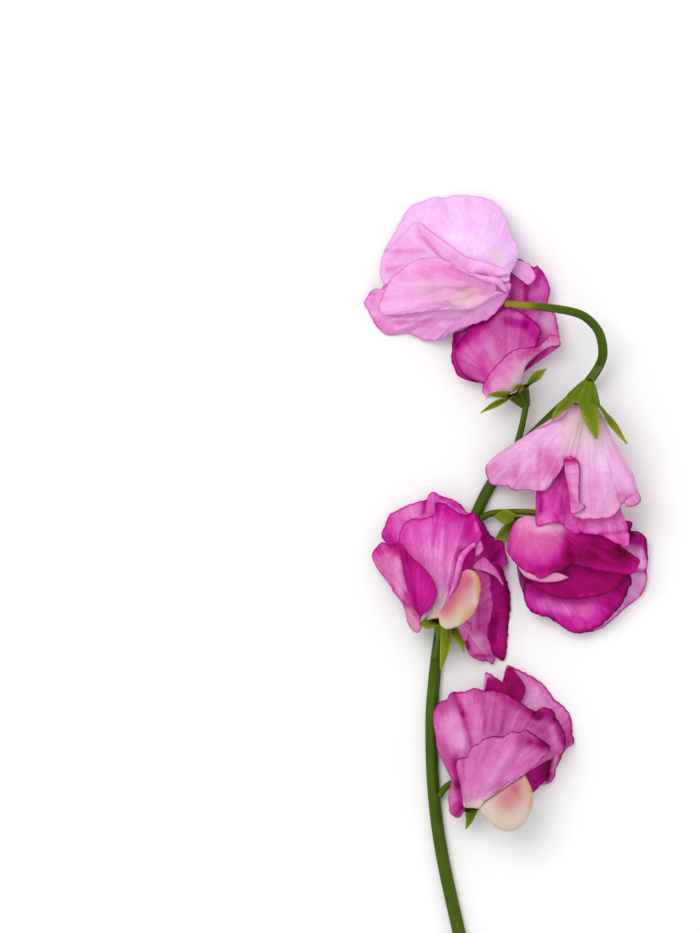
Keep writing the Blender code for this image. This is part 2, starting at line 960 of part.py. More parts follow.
def bloom_6(spray, looks):
    """The pale bloom on the stem's tip, lying over bloom 5."""
    calyx(
        spray,
        "bloom6_calyx",
        looks["calyx"],
        base=(-2.4, 86.4, 16.0),
        mouth=(-6.4, 88.4, 15.6),
        radius=2.8,
        top=(0.0, 1.0, 0.0),
        tips={},
        reach=1.6,
        skip=("stem",),
    )
    petal(
        spray,
        "bloom6_lower_petal",
        looks["pale"],
        claw=[(-9.0, 87.2, 16.0), (-9.4, 89.2, 16.0)],
        margin=[
            (-1.0, 86.6, 18),
            (-2.5, 84.2, 16.5),
            (-5.5, 81.4, 14),
            (-12.5, 79.2, 10),
            (-19, 75.9, 4),
            (-24.5, 75.7, 2),
            (-28.5, 77.5, 1.5),
            (-34, 77.1, 0.5),
            (-38.3, 80.6, 0.5),
            (-41.1, 85.8, 1),
            (-38.8, 90.2, 2.5),
            (-34, 92, 5),
            (-20, 93, 11),
        ],
        belly=1.0,
        skip=("stem",),
        columns=18,
    )
    keel(
        spray,
        "bloom6_keel",
        looks["cream"],
        spine=[(-11.0, 86.0), (-15.0, 84.4), (-20.0, 85.5), (-23.0, 89.0)],
        edge=[(-11.0, 88.4), (-15.0, 88.8), (-19.0, 89.6), (-22.0, 91.0)],
        height=17.0,
        half_width=1.5,
    )
    petal(
        spray,
        "bloom6_standard",
        looks["lilac"],
        claw=[(-9.4, 91.6, 18.5), (-7.4, 91.8, 18.5)],
        margin=[
            (-18, 91.5, 17),
            (-28, 91.6, 11),
            (-35, 91.9, 5),
            (-36.6, 96, 2.5),
            (-35.4, 101.6, 2),
            (-31.8, 108, 1.5),
            (-28.6, 113.3, 1),
            (-22, 116.7, 1),
            (-14, 117.5, 2),
            (-6, 116.4, 4),
            (-1.8, 112.4, 6),
            (0.4, 107.8, 8.5),
            (3.1, 101, 12),
            (2.2, 97, 14),
            (0.6, 93.6, 17),
        ],
        belly=3.0,
        columns=20,
    )
    petal(
        spray,
        "bloom6_front_wing",
        looks["pale"],
        claw=[(-7.2, 88.6, 21.5), (-6.8, 90.2, 21.5)],
        margin=[
            (-1.6, 88.8, 20.5),
            (-10, 84.4, 18.5),
            (-22, 83.9, 13),
            (-33, 82.9, 7),
            (-36.8, 84.6, 6),
            (-36.2, 88, 7),
            (-33.4, 93, 9.5),
            (-27.5, 98, 13),
            (-19.8, 98.7, 17),
            (-14, 95.7, 19.5),
            (-7, 94, 20.5),
            (-1.2, 93.2, 20),
        ],
        belly=1.5,
    )


def stalks(spray, look):
    """The stem and the short stalks that carry blooms 1 to 5."""
    tube(spray, "stem", look, STEM_LINE, STEM_STEP)
    pedicel(
        spray,
        "pedicel_1",
        look,
        [(-18.6, -57.2, 2.6), (-17.0, -54.8, 2.6), (-14.6, -54.0, 2.6), (-12.6, -55.9, 2.9)],
    )
    pedicel(
        spray,
        "pedicel_2",
        look,
        [(-20.8, -17.0, 4.9), (-20.3, -14.2, 5.2), (-19.6, -12.0, 5.9)],
    )
    pedicel(
        spray,
        "pedicel_3",
        look,
        [(-5.6, 24.4, 2.6), (-1.5, 25.2, 3.0), (4.0, 25.6, 3.2), (9.8, 25.2, 2.6)],
    )
    pedicel(
        spray,
        "pedicel_4",
        look,
        [(26.6, 67.4, 9.2), (25.4, 66.4, 13.0), (24.2, 64.4, 16.4)],
    )
    pedicel(
        spray,
        "pedicel_5",
        look,
        [(3.0, 45.6, 4.6), (4.6, 51.0, 4.8), (5.6, 55.8, 5.5)],
    )


def main():
    clear_scene()
    spray = Spray(new_collection("sweet_pea_flower"))
    looks = {
        "stem": material("stem_green", STEM_GREEN, 0.55),
        "calyx": material("calyx_green", CALYX_GREEN, 0.6),
        "deep": material("petal_deep_pink", DEEP_PINK, 0.6),
        "rose": material("petal_rose", ROSE, 0.6),
        "pale": material("petal_pale_pink", PALE_PINK, 0.6),
        "lilac": material("petal_lilac", LILAC, 0.6),
        "cream": material("keel_cream", CREAM, 0.6),
    }
    bloom_5_under = Spray(spray.collection)
    bloom_5(bloom_5_under, looks)
    stalks(spray, looks["stem"])
    spray.surfaces.update(bloom_5_under.surfaces)
    bloom_1(spray, looks)
    bloom_2(spray, looks)
    bloom_3(spray, looks)
    bloom_4(spray, looks)
    bloom_6(spray, looks)


main()
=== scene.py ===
import math

import bmesh
import bpy
import numpy as np
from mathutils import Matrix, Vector


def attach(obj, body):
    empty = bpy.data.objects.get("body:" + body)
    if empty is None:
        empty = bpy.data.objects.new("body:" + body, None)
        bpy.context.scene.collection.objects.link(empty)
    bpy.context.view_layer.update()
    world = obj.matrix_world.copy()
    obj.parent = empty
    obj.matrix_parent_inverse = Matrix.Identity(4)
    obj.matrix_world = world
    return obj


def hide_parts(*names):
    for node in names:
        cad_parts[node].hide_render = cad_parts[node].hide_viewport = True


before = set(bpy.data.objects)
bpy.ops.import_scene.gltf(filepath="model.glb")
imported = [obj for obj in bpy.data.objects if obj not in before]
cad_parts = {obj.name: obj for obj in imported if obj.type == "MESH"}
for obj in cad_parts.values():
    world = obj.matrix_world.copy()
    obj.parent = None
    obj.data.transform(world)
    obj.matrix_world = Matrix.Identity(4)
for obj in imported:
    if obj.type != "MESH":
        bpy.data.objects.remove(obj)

MM = 0.001
ORIGIN = np.array([0.26, -0.40, -0.03])

PETAL_THICK = 0.22
CALYX_THICK = 0.35
PETAL_GAP = 0.3
LIFT_SLOPE = 0.8
LIFT_PASSES = 3
FLOOR_GAP = 0.02
PETAL_ROWS = 42
COLUMN_STEP = 0.55
LEAST_COLUMNS = 24
LINE_SAMPLES = 12
STROKE_FALLOFF = 2.4
MARGIN_NIBBLE = 0.28
STIFF_REACH = 6.0
CUP_FOOT = 0.26
STALK_SIDES = 40
LOWEST_SEPALS_FIRST = (2, 3, 1, 4, 0)
# A thin darker line on each petal's edge: partly the margin's own colour, partly painted shade where the
# edge lies over what is beneath.
EDGE_LINE = 0.26
EDGE_LINE_SHARE = 0.9

CAMERA_LENS = 250.0
CAMERA_AIM = (-0.0458, 0.0391)
CAMERA_DISTANCE = 1.879
PETAL_LEVEL = 0.010

WORLD_LIGHT = 0.84
KEY_LIGHT = 9.36
KEY_PLACE = (-0.5, 0.6, 1.3)
KEY_SIZE = 0.9
TABLE_HALF = 4.0
FLOOR_SHADE = (0.93, 0.93, 0.93)

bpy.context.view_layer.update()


def linear(red, green, blue):
    """A display colour of 0 to 255 as the linear colour that a shader takes."""
    shades = []
    for value in (red, green, blue):
        share = value / 255.0
        shades.append(share / 12.92 if share < 0.04045 else ((share + 0.055) / 1.055) ** 2.4)
    return (*shades, 1.0)


PALE_PINK_SHADES = [
    (253, 236, 250), (248, 203, 242), (238, 168, 218), (225, 126, 190), (208, 74, 160), (188, 22, 132),
    (156, 4, 104), (108, 0, 60),
]
LILAC_SHADES = [
    (252, 232, 252), (246, 200, 250), (242, 172, 230), (232, 134, 206), (216, 84, 176), (194, 30, 146),
    (160, 4, 110), (108, 0, 62),
]
ROSE_SHADES = [
    (252, 222, 244), (246, 188, 234), (240, 150, 216), (230, 106, 196), (214, 58, 170), (198, 14, 146),
    (164, 0, 112), (110, 0, 66),
]
DEEP_PINK_SHADES = [
    (242, 184, 216), (236, 146, 198), (224, 102, 178), (212, 60, 160), (196, 20, 142), (170, 0, 112),
    (140, 0, 80), (88, 0, 40),
]
# Rose ramp made duller and darker for bloom 1's front petals: partly their own duller colour, partly
# painted shade for the weaker light on bloom 1.
SHADED_ROSE_SHADES = [
    (240, 212, 230), (230, 180, 216), (228, 154, 206), (220, 118, 188), (198, 80, 156), (182, 38, 134),
    (150, 4, 100), (100, 0, 54),
]
BLUSH_SHADES = [
    (253, 226, 250), (249, 196, 244), (245, 168, 230), (234, 134, 208), (216, 86, 176), (194, 30, 142),
    (160, 4, 106), (108, 0, 60),
]

CREAM = (236, 218, 200)
KEEL_CREAM = (214, 204, 178)
KEEL_PALE = (232, 214, 198)
KEEL_BLUSH = (206, 100, 128)
KEEL_TAN = (214, 158, 104)
TONE_LOW, TONE_HIGH = -0.2, 1.2


# ---------------------------------------------------------------- lines, sheets, and strokes of colour and painted shade


def smooth_line(points, count):
    """A smooth curve through the points, read at evenly spaced places along its length."""
    points = np.array(points, float)
    ends = np.vstack([2 * points[0] - points[1], points, 2 * points[-1] - points[-2]])
    t = np.linspace(0.0, 1.0, LINE_SAMPLES, endpoint=False)[:, None]
    runs = []
    for i in range(1, len(ends) - 2):
        before, start, end, after = ends[i - 1 : i + 3]
        runs.append(
            0.5
            * (
                2 * start
                + (end - before) * t
                + (2 * before - 5 * start + 4 * end - after) * t**2
                + (3 * start - before - 3 * end + after) * t**3
            )
        )
    fine = np.vstack([*runs, points[-1:]])
    steps = np.linalg.norm(np.diff(fine, axis=0), axis=1)
    along = np.concatenate([[0.0], np.cumsum(steps)])
    wanted = np.linspace(0.0, along[-1], count)
    return np.stack([np.interp(wanted, along, fine[:, k]) for k in range(fine.shape[1])], 1)


def length_of(points):
    return float(np.linalg.norm(np.diff(np.array(points, float)[:, :3], axis=0), axis=1).sum())


def stroke(x, y, strokes):
    """Soft strokes summed: each is (x1, y1, x2, y2, radius, amount), full along its middle line."""
    total = np.zeros_like(x)
    for x1, y1, x2, y2, radius, amount in strokes:
        run = np.array([x2 - x1, y2 - y1])
        share = ((x - x1) * run[0] + (y - y1) * run[1]) / max(float(run @ run), 1e-9)
        share = np.clip(share, 0.0, 1.0)
        away = np.hypot(x - x1 - share * run[0], y - y1 - share * run[1]) / radius
        total += amount * np.exp(-(away**STROKE_FALLOFF))
    return total


def waves(across, lengths, seed):
    """An uneven wave over a distance in millimetres, about 1 high, the same on every run."""
    dice = np.random.default_rng(seed)
    total = np.zeros_like(across)
    for length in lengths:
        phase, stretch, level = dice.uniform(0.0, math.tau), dice.uniform(0.85, 1.2), dice.uniform(0.6, 1.0)
        total += level * np.sin(across * math.tau / (length * stretch) + phase)
    return total / len(lengths)


class Relief:
    """The height of all that is laid down so far, in small square cells over the table."""

    CELL = 0.3
    LOW = np.array([-46.0, -124.0])
    SIZE = (310, 830)

    def __init__(self):
        self.height = np.zeros(self.SIZE)
        self.guard = self.height

    def cells(self, x, y):
        i = np.clip(((x - self.LOW[0]) / self.CELL).astype(int), 0, self.SIZE[0] - 1)
        j = np.clip(((y - self.LOW[1]) / self.CELL).astype(int), 0, self.SIZE[1] - 1)
        return i, j

    def lay(self, grid, half):
        """Marks the top of a sheet, read between its points so that no cell is missed."""
        span = max(
            float(np.abs(np.diff(grid, axis=0)).max()), float(np.abs(np.diff(grid, axis=1)).max())
        )
        parts = max(1, math.ceil(span / (self.CELL * 0.8)))
        steps = np.linspace(0.0, 1.0, parts, endpoint=False)
        for s in steps:
            upper = grid[:-1] * (1 - s) + grid[1:] * s
            for t in steps:
                point = upper[:, :-1] * (1 - t) + upper[:, 1:] * t
                i, j = self.cells(point[..., 0].ravel(), point[..., 1].ravel())
                np.maximum.at(self.height, (i, j), point[..., 2].ravel() + half)
        padded = np.pad(self.height, 1, mode="edge")
        self.guard = np.max(
            [padded[a : a + self.SIZE[0], b : b + self.SIZE[1]] for a in range(3) for b in range(3)],
            axis=0,
        )

    def clear(self, grid, half, gap=PETAL_GAP):
        """Raises a sheet where something lies beneath it, with soft slopes down on every side."""
        i, j = self.cells(grid[..., 0], grid[..., 1])
        top = self.guard[i, j]
        needed = np.where(top > 0.0, top + gap + half, half + FLOOR_GAP)
        lifts = np.maximum(needed - grid[..., 2], 0.0)
        down = np.linalg.norm(np.diff(grid[..., :2], axis=0), axis=-1) * LIFT_SLOPE
        side = np.linalg.norm(np.diff(grid[..., :2], axis=1), axis=-1) * LIFT_SLOPE
        for _ in range(LIFT_PASSES):
            for k in range(1, lifts.shape[0]):
                lifts[k] = np.maximum(lifts[k], lifts[k - 1] - down[k - 1])
            for k in range(lifts.shape[0] - 2, -1, -1):
                lifts[k] = np.maximum(lifts[k], lifts[k + 1] - down[k])
            for k in range(1, lifts.shape[1]):
                lifts[:, k] = np.maximum(lifts[:, k], lifts[:, k - 1] - side[:, k - 1])
            for k in range(lifts.shape[1] - 2, -1, -1):
                lifts[:, k] = np.maximum(lifts[:, k], lifts[:, k + 1] - side[:, k])
        raised = grid.copy()
        raised[..., 2] += lifts
        return raised


def sheet_mesh(name, patches):
    """One mesh from patches, each a grid of points in layout millimetres with its own readings."""
    points, faces = [], []
    readings = {}
    for grid, values in patches:
        rows, columns = grid.shape[:2]
        first = len(points)
        points.extend(((grid.reshape(-1, 3) - ORIGIN) * MM).tolist())
        for key, value in values.items():
            readings.setdefault(key, []).extend(value.reshape(rows * columns, -1).tolist())
        index = np.arange(rows * columns).reshape(rows, columns) + first
        quads = np.stack([index[:-1, :-1], index[:-1, 1:], index[1:, 1:], index[1:, :-1]], -1)
        faces.extend(quads.reshape(-1, 4).tolist())
    mesh = bpy.data.meshes.new(name)
    mesh.from_pydata(points, [], faces)
    for key, value in readings.items():
        if key == "petal_map":
            continue
        mesh.attributes.new(key, "FLOAT", "POINT").data.foreach_set(
            "value", np.array(value, np.float32).ravel()
        )
    layer = mesh.uv_layers.new(name="petal_map")
    corner = np.zeros(len(mesh.loops), np.int32)
    mesh.loops.foreach_get("vertex_index", corner)
    flat = np.array(readings["petal_map"], np.float32)[corner]
    layer.data.foreach_set("uv", flat.ravel())
    shape = bmesh.new()
    shape.from_mesh(mesh)
    bmesh.ops.remove_doubles(shape, verts=shape.verts, dist=1e-7)
    bmesh.ops.recalc_face_normals(shape, faces=shape.faces)
    shape.to_mesh(mesh)
    shape.free()
    mesh.shade_smooth()
    return mesh


def finish_sheet(name, patches, finish, thickness, node=None):
    """Puts a sheet in the scene with its thickness, its finish and its place in the frame."""
    piece = bpy.data.objects.new(name, sheet_mesh(name, patches))
    bpy.context.scene.collection.objects.link(piece)
    piece.data.materials.append(finish)
    skin = piece.modifiers.new("Thickness", "SOLIDIFY")
    skin.thickness = thickness * MM
    skin.offset = 0.0
    skin.use_even_offset = False
    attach(piece, "root")
    if node:
        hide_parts(node)
    return piece


# ---------------------------------------------------------------- finishes


def new_finish(name):
    """An empty material, with its nodes and links."""
    made = bpy.data.materials.new(name)
    made.use_nodes = True
    made.node_tree.nodes.clear()
    return made, made.node_tree.nodes, made.node_tree.links


def arithmetic(nodes, links, operation, first, second, third=None):
    step = nodes.new("ShaderNodeMath")
    step.operation = operation
    for socket, value in zip(step.inputs, (first, second, third)):
        if value is None:
            continue
        if isinstance(value, (int, float)):
            socket.default_value = value
        else:
            links.new(value, socket)
    return step.outputs[0]


def reading(nodes, name):
    node = nodes.new("ShaderNodeAttribute")
    node.attribute_name = name
    return node.outputs["Fac"]


def mixed(nodes, links, share, first, second):
    node = nodes.new("ShaderNodeMix")
    node.data_type = "RGBA"
    links.new(share, node.inputs[0])
    for socket, value in ((node.inputs[6], first), (node.inputs[7], second)):
        if isinstance(value, tuple):
            socket.default_value = value
        else:
            links.new(value, socket)
    return node.outputs[2]


def stretched_noise(nodes, links, source, scale, detail, warp=0.0):
    """Noise drawn out along whichever way its scale is low."""
    place = nodes.new("ShaderNodeMapping")
    place.inputs["Scale"].default_value = scale
    links.new(source, place.inputs["Vector"])
    noise = nodes.new("ShaderNodeTexNoise")
    noise.inputs["Scale"].default_value = 1.0
    noise.inputs["Detail"].default_value = detail
    noise.inputs["Distortion"].default_value = warp
    links.new(place.outputs[0], noise.inputs["Vector"])
    return noise.outputs["Fac"]


def soft_shader(nodes, links, color, bump, roughness, through):
    """A thin petal: a soft face that lets a share of the light through."""
    face = nodes.new("ShaderNodeBsdfPrincipled")
    links.new(color, face.inputs["Base Color"])
    links.new(bump, face.inputs["Normal"])
    face.inputs["Roughness"].default_value = roughness
    face.inputs["Specular IOR Level"].default_value = 0.08
    behind = nodes.new("ShaderNodeBsdfTranslucent")
    links.new(color, behind.inputs["Color"])
    links.new(bump, behind.inputs["Normal"])
    both = nodes.new("ShaderNodeMixShader")
    both.inputs[0].default_value = through
    links.new(face.outputs[0], both.inputs[1])
    links.new(behind.outputs[0], both.inputs[2])
    out = nodes.new("ShaderNodeOutputMaterial")
    links.new(both.outputs[0], out.inputs["Surface"])


def petal_finish(name, shades, veins, through=0.18):
    """A petal's skin: fine veins fan out from the claw, and the tone deepens to the margin."""
    made, nodes, links = new_finish(name)
    spread = nodes.new("ShaderNodeUVMap")
    spread.uv_map = "petal_map"
    body = nodes.new("ShaderNodeTexCoord").outputs["Object"]
    broad = stretched_noise(nodes, links, spread.outputs[0], (0.55, 0.05, 1.0), 2.0, 0.25)
    fine = stretched_noise(nodes, links, spread.outputs[0], (1.9, 0.11, 1.0), 3.0, 0.35)
    cloud = stretched_noise(nodes, links, body, (240.0,) * 3, 4.0)
    mottle = stretched_noise(nodes, links, body, (850.0,) * 3, 3.0)
    grain = stretched_noise(nodes, links, body, (2200.0,) * 3, 2.0)
    tone = reading(nodes, "tone")
    tone = arithmetic(nodes, links, "MULTIPLY_ADD", broad, veins * 0.44, tone)
    tone = arithmetic(nodes, links, "MULTIPLY_ADD", fine, veins * 0.40, tone)
    tone = arithmetic(nodes, links, "MULTIPLY_ADD", cloud, 0.26, tone)
    tone = arithmetic(nodes, links, "MULTIPLY_ADD", mottle, 0.2, tone)
    tone = arithmetic(nodes, links, "ADD", tone, -0.23 - veins * 0.42)
    scale = nodes.new("ShaderNodeMapRange")
    scale.inputs["From Min"].default_value = TONE_LOW
    scale.inputs["From Max"].default_value = TONE_HIGH
    links.new(tone, scale.inputs["Value"])
    ramp = nodes.new("ShaderNodeValToRGB")
    while len(ramp.color_ramp.elements) < len(shades):
        ramp.color_ramp.elements.new(0.5)
    for number, shade in enumerate(shades):
        element = ramp.color_ramp.elements[number]
        element.position = number / (len(shades) - 1)
        element.color = linear(*shade)
    links.new(scale.outputs[0], ramp.inputs[0])
    cream = mixed(nodes, links, reading(nodes, "warm"), ramp.outputs[0], linear(*CREAM))
    bump = nodes.new("ShaderNodeBump")
    bump.inputs["Distance"].default_value = 0.00035
    bump.inputs["Strength"].default_value = 0.55
    height = arithmetic(nodes, links, "MULTIPLY_ADD", fine, 0.8, broad)
    height = arithmetic(nodes, links, "MULTIPLY_ADD", grain, 0.08, height)
    links.new(height, bump.inputs["Height"])
    soft_shader(nodes, links, cream, bump.outputs[0], 0.5, through)
    return made


def keel_finish():
    """The keel's skin: cream, blushed pink where tone is high and tan where warm is high."""
    made, nodes, links = new_finish("keel_cream")
    spread = nodes.new("ShaderNodeUVMap")
    spread.uv_map = "petal_map"
    body = nodes.new("ShaderNodeTexCoord").outputs["Object"]
    cloud = stretched_noise(nodes, links, body, (260.0,) * 3, 3.0)
    veins = stretched_noise(nodes, links, spread.outputs[0], (1.1, 0.2, 1.0), 3.0, 0.4)
    pale = mixed(nodes, links, cloud, linear(*KEEL_CREAM), linear(*KEEL_PALE))
    blush = arithmetic(nodes, links, "MULTIPLY_ADD", veins, 0.25, reading(nodes, "tone"))
    blush = arithmetic(nodes, links, "ADD", blush, -0.1)
    pink = mixed(nodes, links, blush, pale, linear(*KEEL_BLUSH))
    tan = mixed(nodes, links, reading(nodes, "warm"), pink, linear(*KEEL_TAN))
    bump = nodes.new("ShaderNodeBump")
    bump.inputs["Distance"].default_value = 0.0002
    bump.inputs["Strength"].default_value = 0.4
    links.new(veins, bump.inputs["Height"])
    soft_shader(nodes, links, tan, bump.outputs[0], 0.42, 0.2)
    return made


def green_finish(name, dark, light, tip, roughness, grain_scale):
    """A green skin with lengthwise streaks, lighter where tone is high and yellow where warm is."""
    made, nodes, links = new_finish(name)
    body = nodes.new("ShaderNodeTexCoord").outputs["Object"]
    spread = nodes.new("ShaderNodeUVMap")
    spread.uv_map = "petal_map"
    streaks = stretched_noise(nodes, links, spread.outputs[0], (2.2, 0.12, 1.0), 3.0, 0.2)
    cloud = stretched_noise(nodes, links, body, (160.0,) * 3, 3.0)
    pores = stretched_noise(nodes, links, body, (grain_scale,) * 3, 2.0)
    share = arithmetic(nodes, links, "MULTIPLY_ADD", streaks, 0.55, reading(nodes, "tone"))
    share = arithmetic(nodes, links, "MULTIPLY_ADD", cloud, 0.5, share)
    share = arithmetic(nodes, links, "ADD", share, -0.4)
    base = mixed(nodes, links, share, linear(*dark), linear(*light))
    color = mixed(nodes, links, reading(nodes, "warm"), base, linear(*tip))
    bump = nodes.new("ShaderNodeBump")
    bump.inputs["Distance"].default_value = 0.00015
    bump.inputs["Strength"].default_value = 0.5
    links.new(arithmetic(nodes, links, "MULTIPLY_ADD", pores, 0.4, streaks), bump.inputs["Height"])
    face = nodes.new("ShaderNodeBsdfPrincipled")
    links.new(color, face.inputs["Base Color"])
    links.new(bump.outputs[0], face.inputs["Normal"])
    face.inputs["Roughness"].default_value = roughness
    face.inputs["Specular IOR Level"].default_value = 0.12
    out = nodes.new("ShaderNodeOutputMaterial")
    links.new(face.outputs[0], out.inputs["Surface"])
    return made


# ---------------------------------------------------------------- petals


ROSE_LOOK = petal_finish("petal_rose", ROSE_SHADES, 0.6)
# The rose finish again with the darker ramp: partly painted shade for bloom 1.
SHADED_ROSE_LOOK = petal_finish("petal_rose_painted_shade", SHADED_ROSE_SHADES, 0.6)
LOOKS = {
    # Bloom 1's front petals take the darker rose ramp, partly painted shade.
    "shaded_rose": (SHADED_ROSE_LOOK, "petal_rose"),
    "shaded_lilac": (SHADED_ROSE_LOOK, "petal_lilac"),
    # A deep pink petal given the brighter rose ramp: painted light against the shade cast on it.
    "deep_painted_light": (ROSE_LOOK, "petal_deep_pink"),
    "blush": (petal_finish("petal_blush", BLUSH_SHADES, 0.5), "petal_pale_pink"),
    "deep": (petal_finish("petal_deep_pink", DEEP_PINK_SHADES, 0.55), "petal_deep_pink"),
    "rose": (ROSE_LOOK, "petal_rose"),
    "pale": (petal_finish("petal_pale_pink", PALE_PINK_SHADES, 0.6), "petal_pale_pink"),
    "lilac": (petal_finish("petal_lilac", LILAC_SHADES, 0.35), "petal_lilac"),
}
KEEL_LOOK = keel_finish()
STEM_LOOK = green_finish("stem_green", (34, 52, 0), (88, 112, 4), (146, 136, 22), 0.5, 1500.0)
CALYX_LOOK = green_finish("calyx_green", (46, 68, 0), (102, 122, 8), (168, 170, 40), 0.55, 1300.0)

seeds = iter(range(1, 200))


def petal(
    relief,
    name,
    look,
    claw,
    margin,
    tone,
    heart=None,
    rim=(0.3, 0.7),
    belly=0.0,
    ruffle=0.35,
    tints_and_shade=(),
    warm=(),
    creases=(),
    extra=False,
    gap=PETAL_GAP,
):
    """A petal lofted from its claw to its free margin, laid over what is beneath it.

    tone is its depth of colour near the margin and heart that near the claw. rim is the amount
    and the width of the darker line along its edge, partly the margin's own deeper colour and
    partly painted shade where the edge lies over what is beneath. The colour strokes are partly
    the bloom's own deeper or paler patches and partly painted shade and light along folds and
    creases; warm are strokes of cream colour, and creases are strokes that raise or sink it. An
    extra petal is a turned edge or fold of the bloom that has no CAD node of its own.
    """
    seed = next(seeds)
    heart = tone - 0.15 if heart is None else heart
    columns = max(LEAST_COLUMNS, round(length_of(margin) / COLUMN_STEP))
    start = smooth_line(claw, columns)
    end = smooth_line(margin, columns)
    edge_run = np.linspace(0.0, length_of(margin), columns)
    share = 1.0 - (1.0 - np.linspace(0.0, 1.0, PETAL_ROWS)) ** 1.5
    t = share[:, None]
    grid = start[None] * (1 - t[..., None]) + end[None] * t[..., None]
    reach = np.linalg.norm((end - start)[:, :2], axis=1)
    outward = (end - start)[:, :2] / np.maximum(reach, 1e-6)[:, None]
    nibble = MARGIN_NIBBLE * waves(edge_run, (1.7, 2.9, 4.3), seed) * np.minimum(1.0, ruffle * 2.5)
    grid[..., :2] += outward[None] * (nibble[None] * t**4)[..., None]
    grid[..., 2] += belly * 4 * t * (1 - t)
    limp = np.minimum(1.0, reach / STIFF_REACH)[None]
    grid[..., 2] += ruffle * t**2 * waves(edge_run, (11.0, 7.0), seed + 50)[None] * limp * 1.6
    grid[..., 2] += ruffle * t**4 * waves(edge_run, (4.2, 2.6), seed + 90)[None] * limp * 0.7
    grid[..., 2] += stroke(grid[..., 0], grid[..., 1], creases)
    grid = relief.clear(grid, PETAL_THICK / 2, gap)
    relief.lay(grid, PETAL_THICK / 2)

    x, y = grid[..., 0], grid[..., 1]
    steps = np.linalg.norm(np.diff(grid, axis=0), axis=-1)
    from_claw = np.vstack([np.zeros(columns), np.cumsum(steps, axis=0)])
    to_margin = from_claw[-1][None] - from_claw
    across = np.linalg.norm(np.diff(grid, axis=1), axis=-1)
    from_side = np.hstack([np.zeros((PETAL_ROWS, 1)), np.cumsum(across, axis=1)])
    to_side = np.minimum(from_side, from_side[:, -1:] - from_side)
    edge = np.minimum(to_margin, to_side + 3.0 * (1.0 - t) ** 2)
    amount, width = rim
    uneven = width * (1.0 + 0.45 * waves(edge_run, (9.0, 4.0, 2.2), seed + 130))[None]
    depth = heart + (tone - heart) * np.clip(t * 1.25, 0.0, 1.0) ** 1.3
    # Deeper colour along the margin, then a thin darker line on the very edge: partly the margin's own
    # colour, partly painted shade.
    depth = depth + amount * np.exp(-((edge / np.maximum(uneven, 0.15)) ** 1.6))
    depth = depth + EDGE_LINE_SHARE * amount * np.exp(-((edge / EDGE_LINE) ** 2))
    # Colour strokes: the bloom's own deeper and paler patches, and painted shade and light along folds and
    # creases.
    depth = depth + stroke(x, y, tints_and_shade)
    values = {
        "tone": depth,
        "warm": np.clip(stroke(x, y, warm), 0.0, 1.0),
        "petal_map": np.stack([np.broadcast_to(edge_run[None], x.shape), from_claw], -1),
    }
    finish, slot = LOOKS[look]
    node = None if extra else name
    finish_sheet(name, [(grid, values)], finish, PETAL_THICK, node)


def keel(relief, name, spine, edge, height, half_width, tone=(), warm=()):
    """A keel: two petals joined along a curved spine, hollow, and open along its other edge."""
    stations, ribs = 90, 44
    low = smooth_line([(a, b, 0.0) for a, b in spine], stations)
    high = smooth_line([(a, b, 0.0) for a, b in edge], stations)
    span = np.linalg.norm(high - low, axis=1)
    swell = half_width * (0.35 + 0.65 * np.sin(np.pi * np.linspace(0.04, 0.94, stations)) ** 0.6)
    side = np.linspace(-1.0, 1.0, ribs)[:, None]
    share = np.abs(side)
    grid = low[None] + (high - low)[None] * (share**1.9)[..., None]
    grid[..., 2] = height + np.sign(side) * swell[None] * np.sin(share**0.8 * 0.8 * np.pi)
    middle = ribs // 2
    under = relief.clear(grid, PETAL_THICK / 2)
    grid[..., 2] += max(0.0, float((under - grid)[:middle, :, 2].max()))
    relief.lay(grid, PETAL_THICK / 2)
    x, y = grid[..., 0], grid[..., 1]
    run = np.broadcast_to(np.linspace(0.0, length_of(low), stations)[None], x.shape)
    values = {
        "tone": np.clip(stroke(x, y, tone), 0.0, 1.0),
        "warm": np.clip(stroke(x, y, warm), 0.0, 1.0),
        "petal_map": np.stack([run, side * span[None]], -1),
    }
    finish_sheet(name, [(grid, values)], KEEL_LOOK, PETAL_THICK, name)


